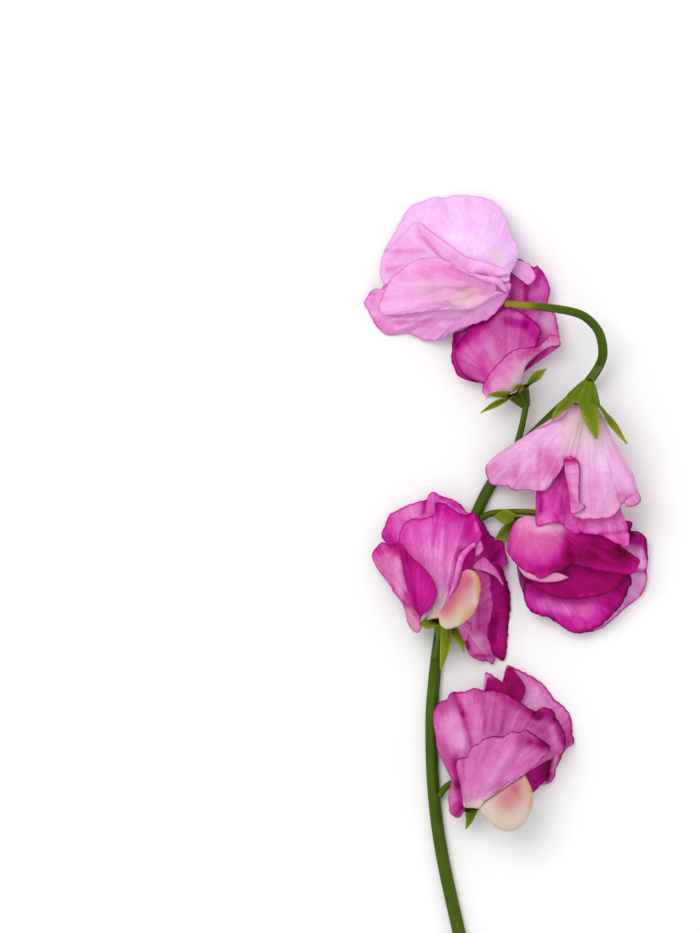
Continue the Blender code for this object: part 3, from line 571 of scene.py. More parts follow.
def calyx(
    relief,
    name,
    base,
    mouth,
    radius,
    top,
    tips,
    reach=6.0,
    tone=0.4,
    warm=0.25,
    bow=1.0,
    broad=0.25,
    flare=(0.4, 0.3),
):
    """A green cup round the petals' claws, with five pointed sepals.

    tips names where a sepal's point lies. flare is the half width of the top sepal and of the
    others where they lie flat, as a share of the cup's radius.
    """
    base, mouth = Vector(base), Vector(mouth)
    axis = (mouth - base).normalized()
    side = (Vector(top) - axis * Vector(top).dot(axis)).normalized()
    across = axis.cross(side)
    around, cup_rows, sepal_rows, sepal_columns = 100, 14, 22, 20
    turn = math.tau * (np.arange(around + 1) / around - 0.1)
    ring = np.outer(np.cos(turn), np.array(side)) + np.outer(np.sin(turn), np.array(across))
    share = np.linspace(0.0, 1.0, cup_rows)
    wide = radius * (CUP_FOOT + (1.0 - CUP_FOOT) * share**0.85)
    ribbed = 1.0 + 0.035 * np.cos(turn * 10.0)
    centre = np.array(base)[None] + np.outer(share, np.array(mouth - base))
    cup = centre[:, None] + ring[None] * (wide[:, None] * ribbed[None])[..., None]
    run = turn * radius
    size = (mouth - base).length
    cup_map = np.stack(np.broadcast_arrays(run[None], (share * size)[:, None]), -1)
    cup_tone = np.full(cup.shape[:2], tone) + 0.12 * np.cos(turn * 10.0)[None]
    patches = [(cup, {"tone": cup_tone, "warm": np.zeros(cup.shape[:2]), "petal_map": cup_map})]
    half = CALYX_THICK / 2
    for number in LOWEST_SEPALS_FIRST:
        angle = math.tau * number / 5
        outward = side * math.cos(angle) + across * math.sin(angle)
        root = np.array(mouth + outward * radius)
        tip = np.array(tips[number]) if number in tips else root + np.array(outward + axis * 0.4) * reach
        feet = cup[-1, number * sepal_columns : (number + 1) * sepal_columns + 1]
        length = np.linspace(0.0, 1.0, sepal_rows)[:, None, None]
        width = np.clip(1.0 - length, 0.0, 1.0) ** 0.7 * (1.0 + broad * np.sin(length * math.pi))
        lean = np.array(outward * 0.8 + axis * 0.6) * bow
        along = tip - root
        flat = np.array([-along[1], along[0], 0.0]) / max(math.hypot(along[0], along[1]), 1e-6)
        if float((feet[-1] - feet[0]) @ flat) < 0.0:
            flat = -flat
        lying = flare[0] if number == 0 else flare[1]
        spread = np.linspace(-lying, lying, sepal_columns + 1)[:, None] * radius * flat
        turned = np.clip(length * 1.8, 0.0, 1.0)
        turned = turned * turned * (3.0 - 2.0 * turned)
        offset = (feet - root)[None] * (1.0 - turned) + spread[None] * turned
        sepal = root + offset * width + along * length
        sepal = sepal + lean * 4 * length * (1 - length)
        middle = np.linspace(-1.0, 1.0, sepal_columns + 1)[None, :, None]
        keeled = 0.5 * (1.0 - np.abs(middle)) * np.sin(length * math.pi * 0.9)
        sepal = sepal + np.array(outward) * keeled
        sepal[1:] = relief.clear(sepal, half, 0.12)[1:]
        relief.lay(sepal, half)
        edge = np.abs(middle[..., 0]) ** 3 * length[..., 0] ** 0.5
        size_of = sepal.shape[:2]
        run = np.linspace(0.0, 2.0 * radius, sepal_columns + 1)[None]
        values = {
            "tone": np.broadcast_to(tone + 0.25 * length[..., 0], size_of).copy(),
            "warm": np.clip(np.broadcast_to(edge * 0.7 + warm * length[..., 0], size_of), 0.0, 1.0),
            "petal_map": np.stack(np.broadcast_arrays(run, size + 6.0 * length[..., 0]), -1),
        }
        patches.append((sepal, values))
    relief.lay(cup, half)
    finish_sheet(name, patches, CALYX_LOOK, CALYX_THICK, name)


# ---------------------------------------------------------------- stem and pedicels


def stalk_tree():
    """A tree of nodes that sweeps a ridged round section along a curve of varying radius."""
    tree = bpy.data.node_groups.new("ridged_stalk", "GeometryNodeTree")
    sockets = tree.interface
    sockets.new_socket("Line", in_out="INPUT", socket_type="NodeSocketGeometry")
    wanted = {}
    for label, kind, value in (
        ("Sides", "NodeSocketInt", STALK_SIDES),
        ("Ridges", "NodeSocketFloat", 5.0),
        ("Ridge Depth", "NodeSocketFloat", 0.05),
        ("Finish", "NodeSocketMaterial", None),
    ):
        socket = sockets.new_socket(label, in_out="INPUT", socket_type=kind)
        if value is not None:
            socket.default_value = value
        wanted[label] = socket.identifier
    sockets.new_socket("Stalk", in_out="OUTPUT", socket_type="NodeSocketGeometry")
    nodes, links = tree.nodes, tree.links
    given = nodes.new("NodeGroupInput")
    result = nodes.new("NodeGroupOutput")
    section = nodes.new("GeometryNodeCurvePrimitiveCircle")
    section.inputs["Radius"].default_value = MM
    links.new(given.outputs["Sides"], section.inputs["Resolution"])
    around = nodes.new("GeometryNodeSplineParameter")
    angle = arithmetic(nodes, links, "MULTIPLY", around.outputs["Factor"], math.tau)
    angle = arithmetic(nodes, links, "MULTIPLY", angle, given.outputs["Ridges"])
    wave = arithmetic(nodes, links, "COSINE", angle, None)
    swell = arithmetic(nodes, links, "MULTIPLY_ADD", wave, given.outputs["Ridge Depth"], 1.0)
    place = nodes.new("GeometryNodeInputPosition")
    grown = nodes.new("ShaderNodeVectorMath")
    grown.operation = "SCALE"
    links.new(place.outputs[0], grown.inputs[0])
    links.new(swell, grown.inputs["Scale"])
    ridged = nodes.new("GeometryNodeSetPosition")
    links.new(section.outputs["Curve"], ridged.inputs["Geometry"])
    links.new(grown.outputs[0], ridged.inputs["Position"])
    turned = nodes.new("GeometryNodeStoreNamedAttribute")
    turned.data_type = "FLOAT"
    turned.inputs["Name"].default_value = "turn"
    links.new(ridged.outputs[0], turned.inputs["Geometry"])
    links.new(around.outputs["Factor"], turned.inputs["Value"])
    run = nodes.new("GeometryNodeStoreNamedAttribute")
    run.data_type = "FLOAT"
    run.inputs["Name"].default_value = "run"
    length = nodes.new("GeometryNodeSplineParameter")
    links.new(given.outputs["Line"], run.inputs["Geometry"])
    links.new(length.outputs["Length"], run.inputs["Value"])
    sweep = nodes.new("GeometryNodeCurveToMesh")
    sweep.inputs["Fill Caps"].default_value = True
    thickness = nodes.new("GeometryNodeInputRadius")
    links.new(thickness.outputs[0], sweep.inputs["Scale"])
    links.new(run.outputs[0], sweep.inputs["Curve"])
    links.new(turned.outputs[0], sweep.inputs["Profile Curve"])
    whole = nodes.new("GeometryNodeRealizeInstances")
    links.new(sweep.outputs[0], whole.inputs["Geometry"])
    dressed = nodes.new("GeometryNodeSetMaterial")
    links.new(whole.outputs[0], dressed.inputs["Geometry"])
    links.new(given.outputs["Finish"], dressed.inputs["Material"])
    links.new(dressed.outputs[0], result.inputs[0])
    return tree, wanted


STALK_TREE, STALK_INPUTS = stalk_tree()


def stalk(relief, name, line, step, ridges=5.0, depth=0.05, tone=0.35, warm=()):
    """A green stalk along a smooth line of (x, y, z, radius), swept by the stalk tree."""
    count = max(6, round(length_of(line) / step))
    points = smooth_line(line, count)
    curve = bpy.data.curves.new(name + "_line", "CURVE")
    curve.dimensions = "3D"
    run = curve.splines.new("POLY")
    run.points.add(count - 1)
    for target, point in zip(run.points, points):
        target.co = (*((point[:3] - ORIGIN) * MM), 1.0)
        target.radius = point[3]
    guide = bpy.data.objects.new(name + "_line", curve)
    bpy.context.scene.collection.objects.link(guide)
    sweep = guide.modifiers.new("Stalk", "NODES")
    sweep.node_group = STALK_TREE
    sweep[STALK_INPUTS["Sides"]] = STALK_SIDES
    sweep[STALK_INPUTS["Ridges"]] = ridges
    sweep[STALK_INPUTS["Ridge Depth"]] = depth
    sweep[STALK_INPUTS["Finish"]] = STEM_LOOK
    graph = bpy.context.evaluated_depsgraph_get()
    mesh = bpy.data.meshes.new_from_object(guide.evaluated_get(graph), depsgraph=graph)
    bpy.data.objects.remove(guide, do_unlink=True)
    mesh.name = name
    number = len(mesh.vertices)
    spot = np.zeros(number * 3, np.float32)
    mesh.vertices.foreach_get("co", spot)
    spot = spot.reshape(-1, 3) / MM + ORIGIN
    turn = np.zeros(number, np.float32)
    along = np.zeros(number, np.float32)
    mesh.attributes["turn"].data.foreach_get("value", turn)
    mesh.attributes["run"].data.foreach_get("value", along)
    layer = mesh.uv_layers.new(name="petal_map")
    corner = np.zeros(len(mesh.loops), np.int32)
    mesh.loops.foreach_get("vertex_index", corner)
    flat = np.stack([turn * 8.0, along / MM], -1).astype(np.float32)[corner]
    layer.data.foreach_set("uv", flat.ravel())
    shade = np.full(number, tone, np.float32)
    mesh.attributes.new("tone", "FLOAT", "POINT").data.foreach_set("value", shade)
    yellow = np.clip(stroke(spot[:, 0], spot[:, 1], warm), 0.0, 1.0).astype(np.float32)
    mesh.attributes.new("warm", "FLOAT", "POINT").data.foreach_set("value", yellow)
    mesh.shade_smooth()
    piece = bpy.data.objects.new(name, mesh)
    bpy.context.scene.collection.objects.link(piece)
    if not mesh.materials:
        mesh.materials.append(STEM_LOOK)
    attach(piece, "root")
    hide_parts(name)
    offsets = np.linspace(-1.0, 1.0, 15)
    strip = np.repeat(points[None, :, :3], len(offsets), axis=0)
    heading = np.gradient(points[:, :2], axis=0)
    heading = heading / np.maximum(np.linalg.norm(heading, axis=1), 1e-6)[:, None]
    across = np.stack([-heading[:, 1], heading[:, 0]], -1)
    for k, offset in enumerate(offsets):
        strip[k, :, :2] += across * (offset * points[:, 3])[:, None]
        strip[k, :, 2] += points[:, 3] * math.sqrt(max(0.0, 1.0 - offset**2))
    relief.lay(strip, 0.0)


STEM_LINE = [
    (-9.0, -118.0, 1.95, 1.95), (-14.0, -96.5, 1.9, 1.9), (-18.9, -73.9, 1.85, 1.85),
    (-21.3, -55.4, 1.8, 1.8), (-21.9, -36.9, 1.8, 1.8), (-21.2, -24.6, 1.75, 1.75),
    (-19.7, -12.3, 1.75, 1.75), (-17.5, 0.0, 1.7, 1.7), (-14.3, 12.0, 1.7, 1.7), (-8.8, 25.0, 1.65, 1.65),
    (-4.5, 33.5, 1.65, 1.65), (1.5, 41.5, 1.6, 1.6), (8.5, 48.7, 1.6, 1.6), (16.2, 56.2, 2.0, 1.5),
    (21.0, 60.3, 3.0, 1.45), (24.3, 64.0, 4.5, 1.4), (27.3, 69.0, 7.0, 1.35), (27.8, 73.0, 9.5, 1.35),
    (26.4, 78.0, 12.5, 1.3), (23.0, 81.6, 14.8, 1.25), (18.8, 83.4, 16.4, 1.2), (11.5, 84.6, 17.6, 1.15),
    (5.0, 85.2, 17.6, 1.05), (-0.6, 85.8, 16.6, 1.0),
]


def pedicel(relief, name, line, radii=(0.95, 0.85), warm=()):
    """A short flower stalk, thicker where it leaves the stem."""
    sizes = np.linspace(radii[0], radii[1], len(line))
    line = [(x, y, z, size) for (x, y, z), size in zip(line, sizes)]
    stalk(relief, name, line, 0.5, ridges=4.0, depth=0.04, tone=0.5, warm=warm)


def stalks(relief):
    """The stem and the short stalks that carry blooms 1 to 5."""
    stalk(relief, "stem", STEM_LINE, 0.9, warm=[(-1.0, 85.8, 5.0, 85.2, 2.5, 0.75)])
    pedicel(
        relief,
        "pedicel_1",
        [(-19.6, -57.4, 2.6), (-17.6, -54.6, 2.9), (-14.6, -53.2, 2.9), (-12.6, -55.9, 3.4)],
    )
    pedicel(relief, "pedicel_2", [(-20.8, -17, 4.6), (-20.1, -14.2, 5.2), (-19.5, -11, 6.6)])
    pedicel(
        relief,
        "pedicel_3",
        [(-7.4, 23.6, 2.4), (-4.5, 25.0, 3.0), (0, 25.4, 3.2), (5, 25.5, 3.2), (9.8, 25.2, 3.2)],
        warm=[(4, 25.3, 9, 25.3, 1.5, 0.5)],
    )
    pedicel(relief, "pedicel_4", [(26.6, 67.4, 8.6), (25.2, 66.0, 13.0), (23.9, 63.4, 16.8)])
    pedicel(relief, "pedicel_5", [(3.2, 45.4, 3.4), (4.6, 51.0, 4.6), (5.7, 57.0, 6.2)])


# ---------------------------------------------------------------- blooms


def bloom_5(relief):
    """The cup-shaped bloom that the crook of the stem passes over."""
    # Brighter rose ramp and lower tone: painted light, offsetting the shade that bloom 6 and the stem cast
    # on this petal.
    petal(
        relief, "bloom5_back_standard", "deep_painted_light", claw=[(-1.0, 62.8, 6.0), (3.0, 64.6, 6.5)],
        margin=[
            (-9, 63.2, 5), (-12.6, 64.3, 5), (-14.4, 65.6, 5), (-16, 69.6, 5), (-15.9, 73, 5.5),
            (-15.4, 77.4, 6), (-13.6, 78, 6), (-9, 81, 6), (-3, 89, 6), (1, 95, 7), (3, 98.8, 8),
            (5.5, 98, 7.5), (7.8, 96.6, 7), (9, 96.9, 6.5), (10.5, 95.3, 6), (12, 92.5, 5.5),
            (12.6, 90, 5), (11.9, 86, 5), (13.2, 84, 5), (14.4, 82, 5), (15.2, 76.5, 6),
            (15.3, 73.6, 6.5), (12, 73.4, 6.5), (6.5, 67.8, 7.0),
        ],
        tone=0.58, rim=(0.25, 0.6), belly=-2.0,
        tints_and_shade=[
            (12.5, 82, 13.5, 76, 2.6, -0.42), (8, 82, 11, 80, 1.8, -0.26), (7, 93, 9.5, 88, 2.8, -0.16),
            (2, 90, 4, 88.5, 2.2, -0.12), (5.4, 92, 5.6, 87, 0.8, 0.25), (9.5, 94.5, 8, 92, 1.2, 0.2),
            (-14.8, 78, -15, 75, 1.0, 0.3),
        ],
        creases=[(5.4, 92, 5.6, 87, 0.9, -0.8), (6, 88, 11, 89, 1.2, 0.7)],
    )
    petal(
        relief, "bloom5_folded_tip", "blush", claw=[(1.3, 95.2, 9.0), (2.6, 98.2, 9.2), (3.4, 98.5, 9.2)],
        margin=[(2.5, 94.0, 9.4), (4.5, 92.4, 9.6), (6.5, 91.3, 9.6), (8.4, 93.8, 9.4), (6.4, 97.6, 9)],
        tone=0.2, rim=(0.35, 0.3), ruffle=0.1, extra=True,
    )
    petal(
        relief, "bloom5_cup_wing", "rose", claw=[(-2.0, 62.4, 8.0), (1.8, 64.0, 8.4)],
        margin=[
            (-7, 62.8, 7), (-11, 64.6, 6.8), (-13.2, 66.2, 6.5), (-14.6, 68.5, 7), (-15.2, 71, 8),
            (-14.9, 73.6, 9), (-12.5, 76.6, 10.5), (-10, 79.2, 11.5), (-5, 81.2, 12), (-2, 84, 12.3),
            (1.5, 84.6, 12.3), (5, 82.8, 11.8), (8.2, 80.6, 11), (9.8, 78.3, 10.5), (8.8, 74.8, 10),
            (5, 68.5, 9.5),
        ],
        tone=0.44, heart=0.3, rim=(0.3, 1.2), belly=-3.4, ruffle=0.3,
        tints_and_shade=[
            (-14.2, 73.6, -7, 79.8, 1.5, 0.3), (0, 81, 5, 80, 1.4, 0.3), (6, 79.6, 8.8, 76, 1.7, 0.28),
            (-11, 70, -12, 73, 1.6, -0.12), (-5, 74, -4, 70, 1.8, -0.16), (2.5, 83, 4, 82.3, 1.0, -0.18),
            (-7.5, 70, -7, 66, 1.4, 0.12),
        ],
        creases=[(-7, 72, -4, 64, 1.6, 0.8)],
    )
    keel(
        relief, "bloom5_keel", spine=[(0.4, 62.6), (-2.2, 63.0), (-3.6, 64.0), (-3.2, 65.4)],
        edge=[(1.6, 64.0), (0.4, 64.8), (-0.8, 65.4), (-2.2, 65.8)], height=8.5, half_width=1.0,
    )
    petal(
        relief, "bloom5_outer_wing", "pale",
        claw=[
            (-5.9, 58.4, 9.0), (-2.0, 59.4, 11.0), (1.6, 59.8, 11.4), (3.6, 61.4, 11.6),
            (4.4, 65.0, 11.6), (5.4, 68.0, 11.6), (8.0, 70.8, 11.6), (12.0, 73.4, 11.6),
            (15.2, 74.0, 11.5),
        ],
        margin=[
            (-7.1, 60.3, 9.5), (-6.8, 62.6, 10.5), (-5.2, 65.6, 12.4), (-3.0, 68.2, 13.6),
            (1.0, 72.0, 14.2), (5.0, 73.1, 13.8), (8.6, 73.4, 13.2), (10.4, 74.6, 12.6),
            (12.5, 76.8, 12.0), (15.1, 76.4, 11.8),
        ],
        tone=0.44, heart=0.1, rim=(0.3, 0.4), belly=1.0, ruffle=0.25,
        tints_and_shade=[
            (4, 70.4, 9, 72.6, 1.4, 0.26), (-5.6, 60, -5.6, 64, 1.0, 0.12),
            (12, 75.2, 14.6, 75, 1.0, 0.15),
        ],
        warm=[(0.5, 60.8, 4.2, 67, 1.4, 0.4)],
    )
    calyx(
        relief, "bloom5_calyx", base=(5.8, 56.0, 5.6), mouth=(3.2, 60.6, 4.6), radius=3.4,
        top=(0.9, 0.5, 0.2), tips={0: (11.0, 66.8, 12.5), 3: (-5.4, 59.4, 12.0), 2: (-7.6, 54.3, 6.0)},
        reach=1.4, tone=0.15, bow=0.5, warm=0.3, flare=(0.5, 0.35),
    )


def bloom_1(relief):
    """The lowest bloom, to the right of the stem and facing up."""
    calyx(
        relief, "bloom1_calyx", base=(-11.8, -55.8, 4.6), mouth=(-10.0, -59.0, 9.4), radius=3.0,
        top=(0.1, -1.0, 0.0), tips={0: (-11.9, -66.5, 6.5)}, reach=3.0, tone=0.5, bow=0.4,
    )
    petal(
        relief, "bloom1_back_standard", "pale", claw=[(-10.2, -56.8, 11.0), (-8.6, -58.0, 11.0)],
        margin=[
            (-11, -48, 6), (-10, -36, 3), (-7.6, -29, 2.5), (-5.7, -25.6, 3), (-6.1, -21.2, 3.5),
            (-3, -22.8, 3.3), (-0.8, -24.0, 3), (-0.1, -19.6, 4), (0.9, -19.3, 4), (3, -20.2, 3.4),
            (7.5, -22.5, 2), (10, -24.2, 1.4), (12, -26.3, 0.8), (13.8, -28.9, 0.6), (15, -29.9, 0.5),
            (16.8, -31.3, 0.6), (18.2, -33.2, 0.8), (18.9, -35, 1.0), (19.3, -39.6, 1.3),
            (19.8, -41.8, 1.5), (18, -43, 1.2), (16.6, -44.8, 1), (15.1, -48, 1), (14.3, -49.3, 1),
            (14.1, -51.4, 1.6), (12.8, -53.2, 2), (10.8, -53.9, 3), (9, -53.8, 3), (-2, -57.5, 8),
        ],
        tone=0.38, heart=0.5, rim=(0.42, 0.5), belly=0.5,
        tints_and_shade=[
            (9, -27, 7, -31, 3.2, -0.12), (18.4, -40, 13, -51, 2.2, 0.28),
            (12.4, -45, 11.6, -52.6, 0.7, 0.4), (16, -33.5, 18, -37, 1.6, 0.08),
            (14.6, -45, 13.4, -50, 0.7, -0.25), (8, -24, 12, -28, 0.5, 0.14),
            (10, -27.5, 14, -32, 0.5, 0.12),
        ],
        creases=[(12.4, -45, 11.6, -52.6, 0.8, -0.8), (14.4, -44, 13, -52, 0.8, 0.8)],
    )
    petal(
        relief, "bloom1_turned_edge", "deep",
        claw=[(-7.6, -28.6, 5.0), (-2.0, -30.4, 5.6), (3.6, -30.6, 6.2)],
        margin=[
            (-5.8, -25.8, 5.2), (-5.5, -22.8, 5.6), (-3.6, -22.9, 5.6), (-0.8, -24.2, 5.2),
            (-0.2, -20.3, 5.8), (1.3, -19.9, 5.8), (3.0, -21.8, 5.6), (4.8, -24.2, 5.4),
            (5.5, -26.2, 5.4), (4.2, -29.4, 5.8),
        ],
        tone=0.9, heart=0.94, rim=(0.12, 0.4), ruffle=0.2, belly=0.6,
        tints_and_shade=[
            (-5.6, -22.4, -3, -23, 0.6, -0.35), (-2, -25.6, -2, -26, 1.6, -0.1),
            (2.5, -25, 2.5, -27, 2, 0.08),
        ],
        creases=[(-1.2, -28, -0.7, -24, 0.9, -0.9)], extra=True,
    )
    petal(
        relief, "bloom1_back_wing", "deep", claw=[(-8.6, -58.4, 12.0), (-8.2, -59.8, 12.0)],
        margin=[
            (-2, -50, 9), (4, -45, 7.5), (10, -42, 6.5), (12.9, -43, 6), (12.5, -48, 5),
            (11.2, -52.4, 4.5), (9.6, -54.2, 4.6), (7.4, -56.3, 5), (2, -59, 7), (-3, -61, 10),
        ],
        tone=0.8, heart=0.62, rim=(0.12, 0.8),
        tints_and_shade=[(12, -45, 11.2, -52, 1.4, 0.18), (6.5, -52, 7.5, -50, 2.0, -0.12)],
    )
    keel(
        relief, "bloom1_keel",
        spine=[
            (-8.6, -59.7), (-7, -62), (-5, -64.2), (-2.5, -66.1), (0.5, -66.8), (3.5, -65.8),
            (5.5, -63.5), (6.8, -60.5), (7.3, -57.5), (6.7, -54.0), (4.7, -50.2),
        ],
        edge=[(-7.4, -58.4), (-3.5, -56.0), (0.5, -53.0), (4.0, -50.4)], height=9.5, half_width=3.0,
        tone=[(0, -57.5, 1.5, -56, 4.0, 0.75), (2.5, -53.5, 3.5, -52.5, 2.2, 0.35)],
        warm=[(7.0, -60.5, 6.9, -55, 0.9, 0.5), (4.8, -51.5, 5.8, -54.5, 1.2, 0.5)],
    )
    # Darker rose ramp here: partly painted shade for the weaker light on bloom 1.
    petal(
        relief, "bloom1_front_standard", "shaded_rose", claw=[(-12.0, -57.6, 13.0), (-9.4, -57.2, 13.6)],
        margin=[
            (-12.6, -60.0, 11.5), (-13.0, -62.2, 9.5), (-14.5, -63.2, 8), (-16.2, -62, 7.5),
            (-16.8, -60, 7), (-16.7, -56, 6.5), (-16.1, -52.5, 6.5), (-17.3, -49.5, 6.5), (-19.9, -44, 6),
            (-20.6, -39.5, 6), (-21.3, -35.5, 6), (-21.2, -32.5, 6), (-19.9, -30.2, 6),
            (-17.5, -28.9, 6.3), (-15.8, -26.8, 6.5), (-12.5, -26.7, 7), (-9.3, -25.6, 7),
            (-7, -26.3, 7.5), (-3, -26.4, 7.5), (0, -27.4, 7.8), (4, -29.9, 8), (8, -32.3, 9),
            (9.4, -31.6, 9.2), (11, -31.2, 9.5), (13.2, -31.9, 9), (14.3, -34.2, 8.5), (15.4, -35.8, 8.2),
            (16.8, -38.5, 7.5), (17.1, -40.2, 7.5), (16.3, -44.2, 7), (13.5, -43.4, 8.5), (4, -47, 11.5),
            (-5, -55, 13),
        ],
        tone=0.55, heart=0.4, rim=(0.28, 0.5), belly=2.0, ruffle=0.4,
        tints_and_shade=[
            (-16, -35, -14.6, -41, 3.2, -0.32), (-12.4, -39, -11.8, -43, 1.6, -0.14),
            (-11, -29, -9, -34, 2.0, -0.16), (-8.5, -38, -7.5, -42, 2.2, -0.12),
            (-15.2, -28, -12.8, -33, 1.0, 0.28), (-12.8, -33, -10.4, -42, 0.8, 0.32),
            (-19.5, -31, -18.5, -33, 2.0, 0.12), (-17.2, -42.5, -15.6, -48, 2.0, 0.14),
            (-16.4, -53, -16.2, -59, 1.0, -0.1), (-15.0, -46, -14.4, -54, 1.0, 0.35),
            (-13.8, -53, -12.9, -60, 1.3, 0.42), (-14.6, -62.4, -14.4, -60, 1.4, 0.25),
            (-3, -27, 9, -34.2, 1.2, 0.22), (9, -33, 13, -33.2, 1.8, 0.42),
            (14.2, -35, 16.6, -41, 1.3, 0.38), (13.5, -37, 14.2, -42, 1.2, -0.2),
            (-6.5, -29, -6.5, -38, 0.7, 0.1), (-3.4, -30, -4, -38, 0.6, 0.1),
            (-0.5, -30, -1.5, -38, 0.6, 0.12), (2.5, -33, 1, -37, 0.7, -0.12),
            (6, -36, 11, -38, 1.0, 0.1),
        ],
        creases=[
            (-15.2, -28, -10.4, -42, 1.0, -0.9), (-18, -44, -13, -42.5, 1.2, 0.7),
            (-16.4, -50, -16.2, -60, 1.0, 0.9), (9, -33, 14.5, -35, 1.6, 1.0),
            (14.4, -36, 15.4, -42, 1.2, -0.8), (-8, -30, -7, -38, 0.8, 0.4),
            (-1.5, -30, -2.5, -38, 0.8, 0.4),
        ],
    )
    # Darker rose ramp here: partly painted shade for the weaker light on bloom 1.
    petal(
        relief, "bloom1_front_wing", "shaded_lilac", claw=[(-12.0, -60.0, 14.6), (-9.2, -60.1, 14.6)],
        margin=[
            (-12.7, -59.4, 14.8), (-13.0, -57, 15), (-13.5, -53, 15.5), (-14.7, -48, 15.8),
            (-14.6, -46.3, 16), (-13, -45.3, 16.3), (-11.4, -45.0, 16.5), (-10.8, -42.8, 17),
            (-9.6, -41.8, 17), (-8.2, -41.3, 17), (-7.3, -40.2, 17), (-6, -39.6, 17), (-4, -39.2, 17),
            (-1, -39.3, 17), (0.1, -38.5, 17), (1.2, -37.9, 17), (3.6, -37.9, 17), (5.5, -37.4, 17),
            (7.2, -38.4, 16.6), (9, -39.7, 16), (12.4, -42.5, 14.5), (9.5, -46, 15.5), (5, -50.1, 16.2),
            (-3, -55, 16.2), (-6, -57.3, 16), (-8.4, -59.9, 15),
        ],
        tone=0.44, heart=0.28, rim=(0.42, 0.4), belly=1.2, ruffle=0.3,
        tints_and_shade=[
            (4, -39.5, 10, -41.6, 2.6, 0.2), (6.3, -40.8, 6.7, -41.2, 1.0, 0.25),
            (9.6, -41.2, 12, -42.6, 1.6, 0.4), (5, -50.2, -8, -59.7, 0.7, -0.12),
            (-2, -47, -6, -53, 1.6, -0.08), (-10, -44, -8, -52, 1.8, 0.04),
            (-12.8, -46, -13.4, -52, 1.0, 0.12), (2, -41, -1, -46, 1.4, -0.06),
        ],
        warm=[(-11.5, -59.6, -8.6, -59.4, 1.6, 0.7), (-8, -58.5, -4.5, -56.6, 1.0, 0.45)],
        creases=[
            (3, -40, -4, -52, 1.4, 0.7), (-3.4, -40.5, -8, -50, 1.3, -0.6), (6, -41, 2, -47, 1.2, -0.6),
        ],
    )


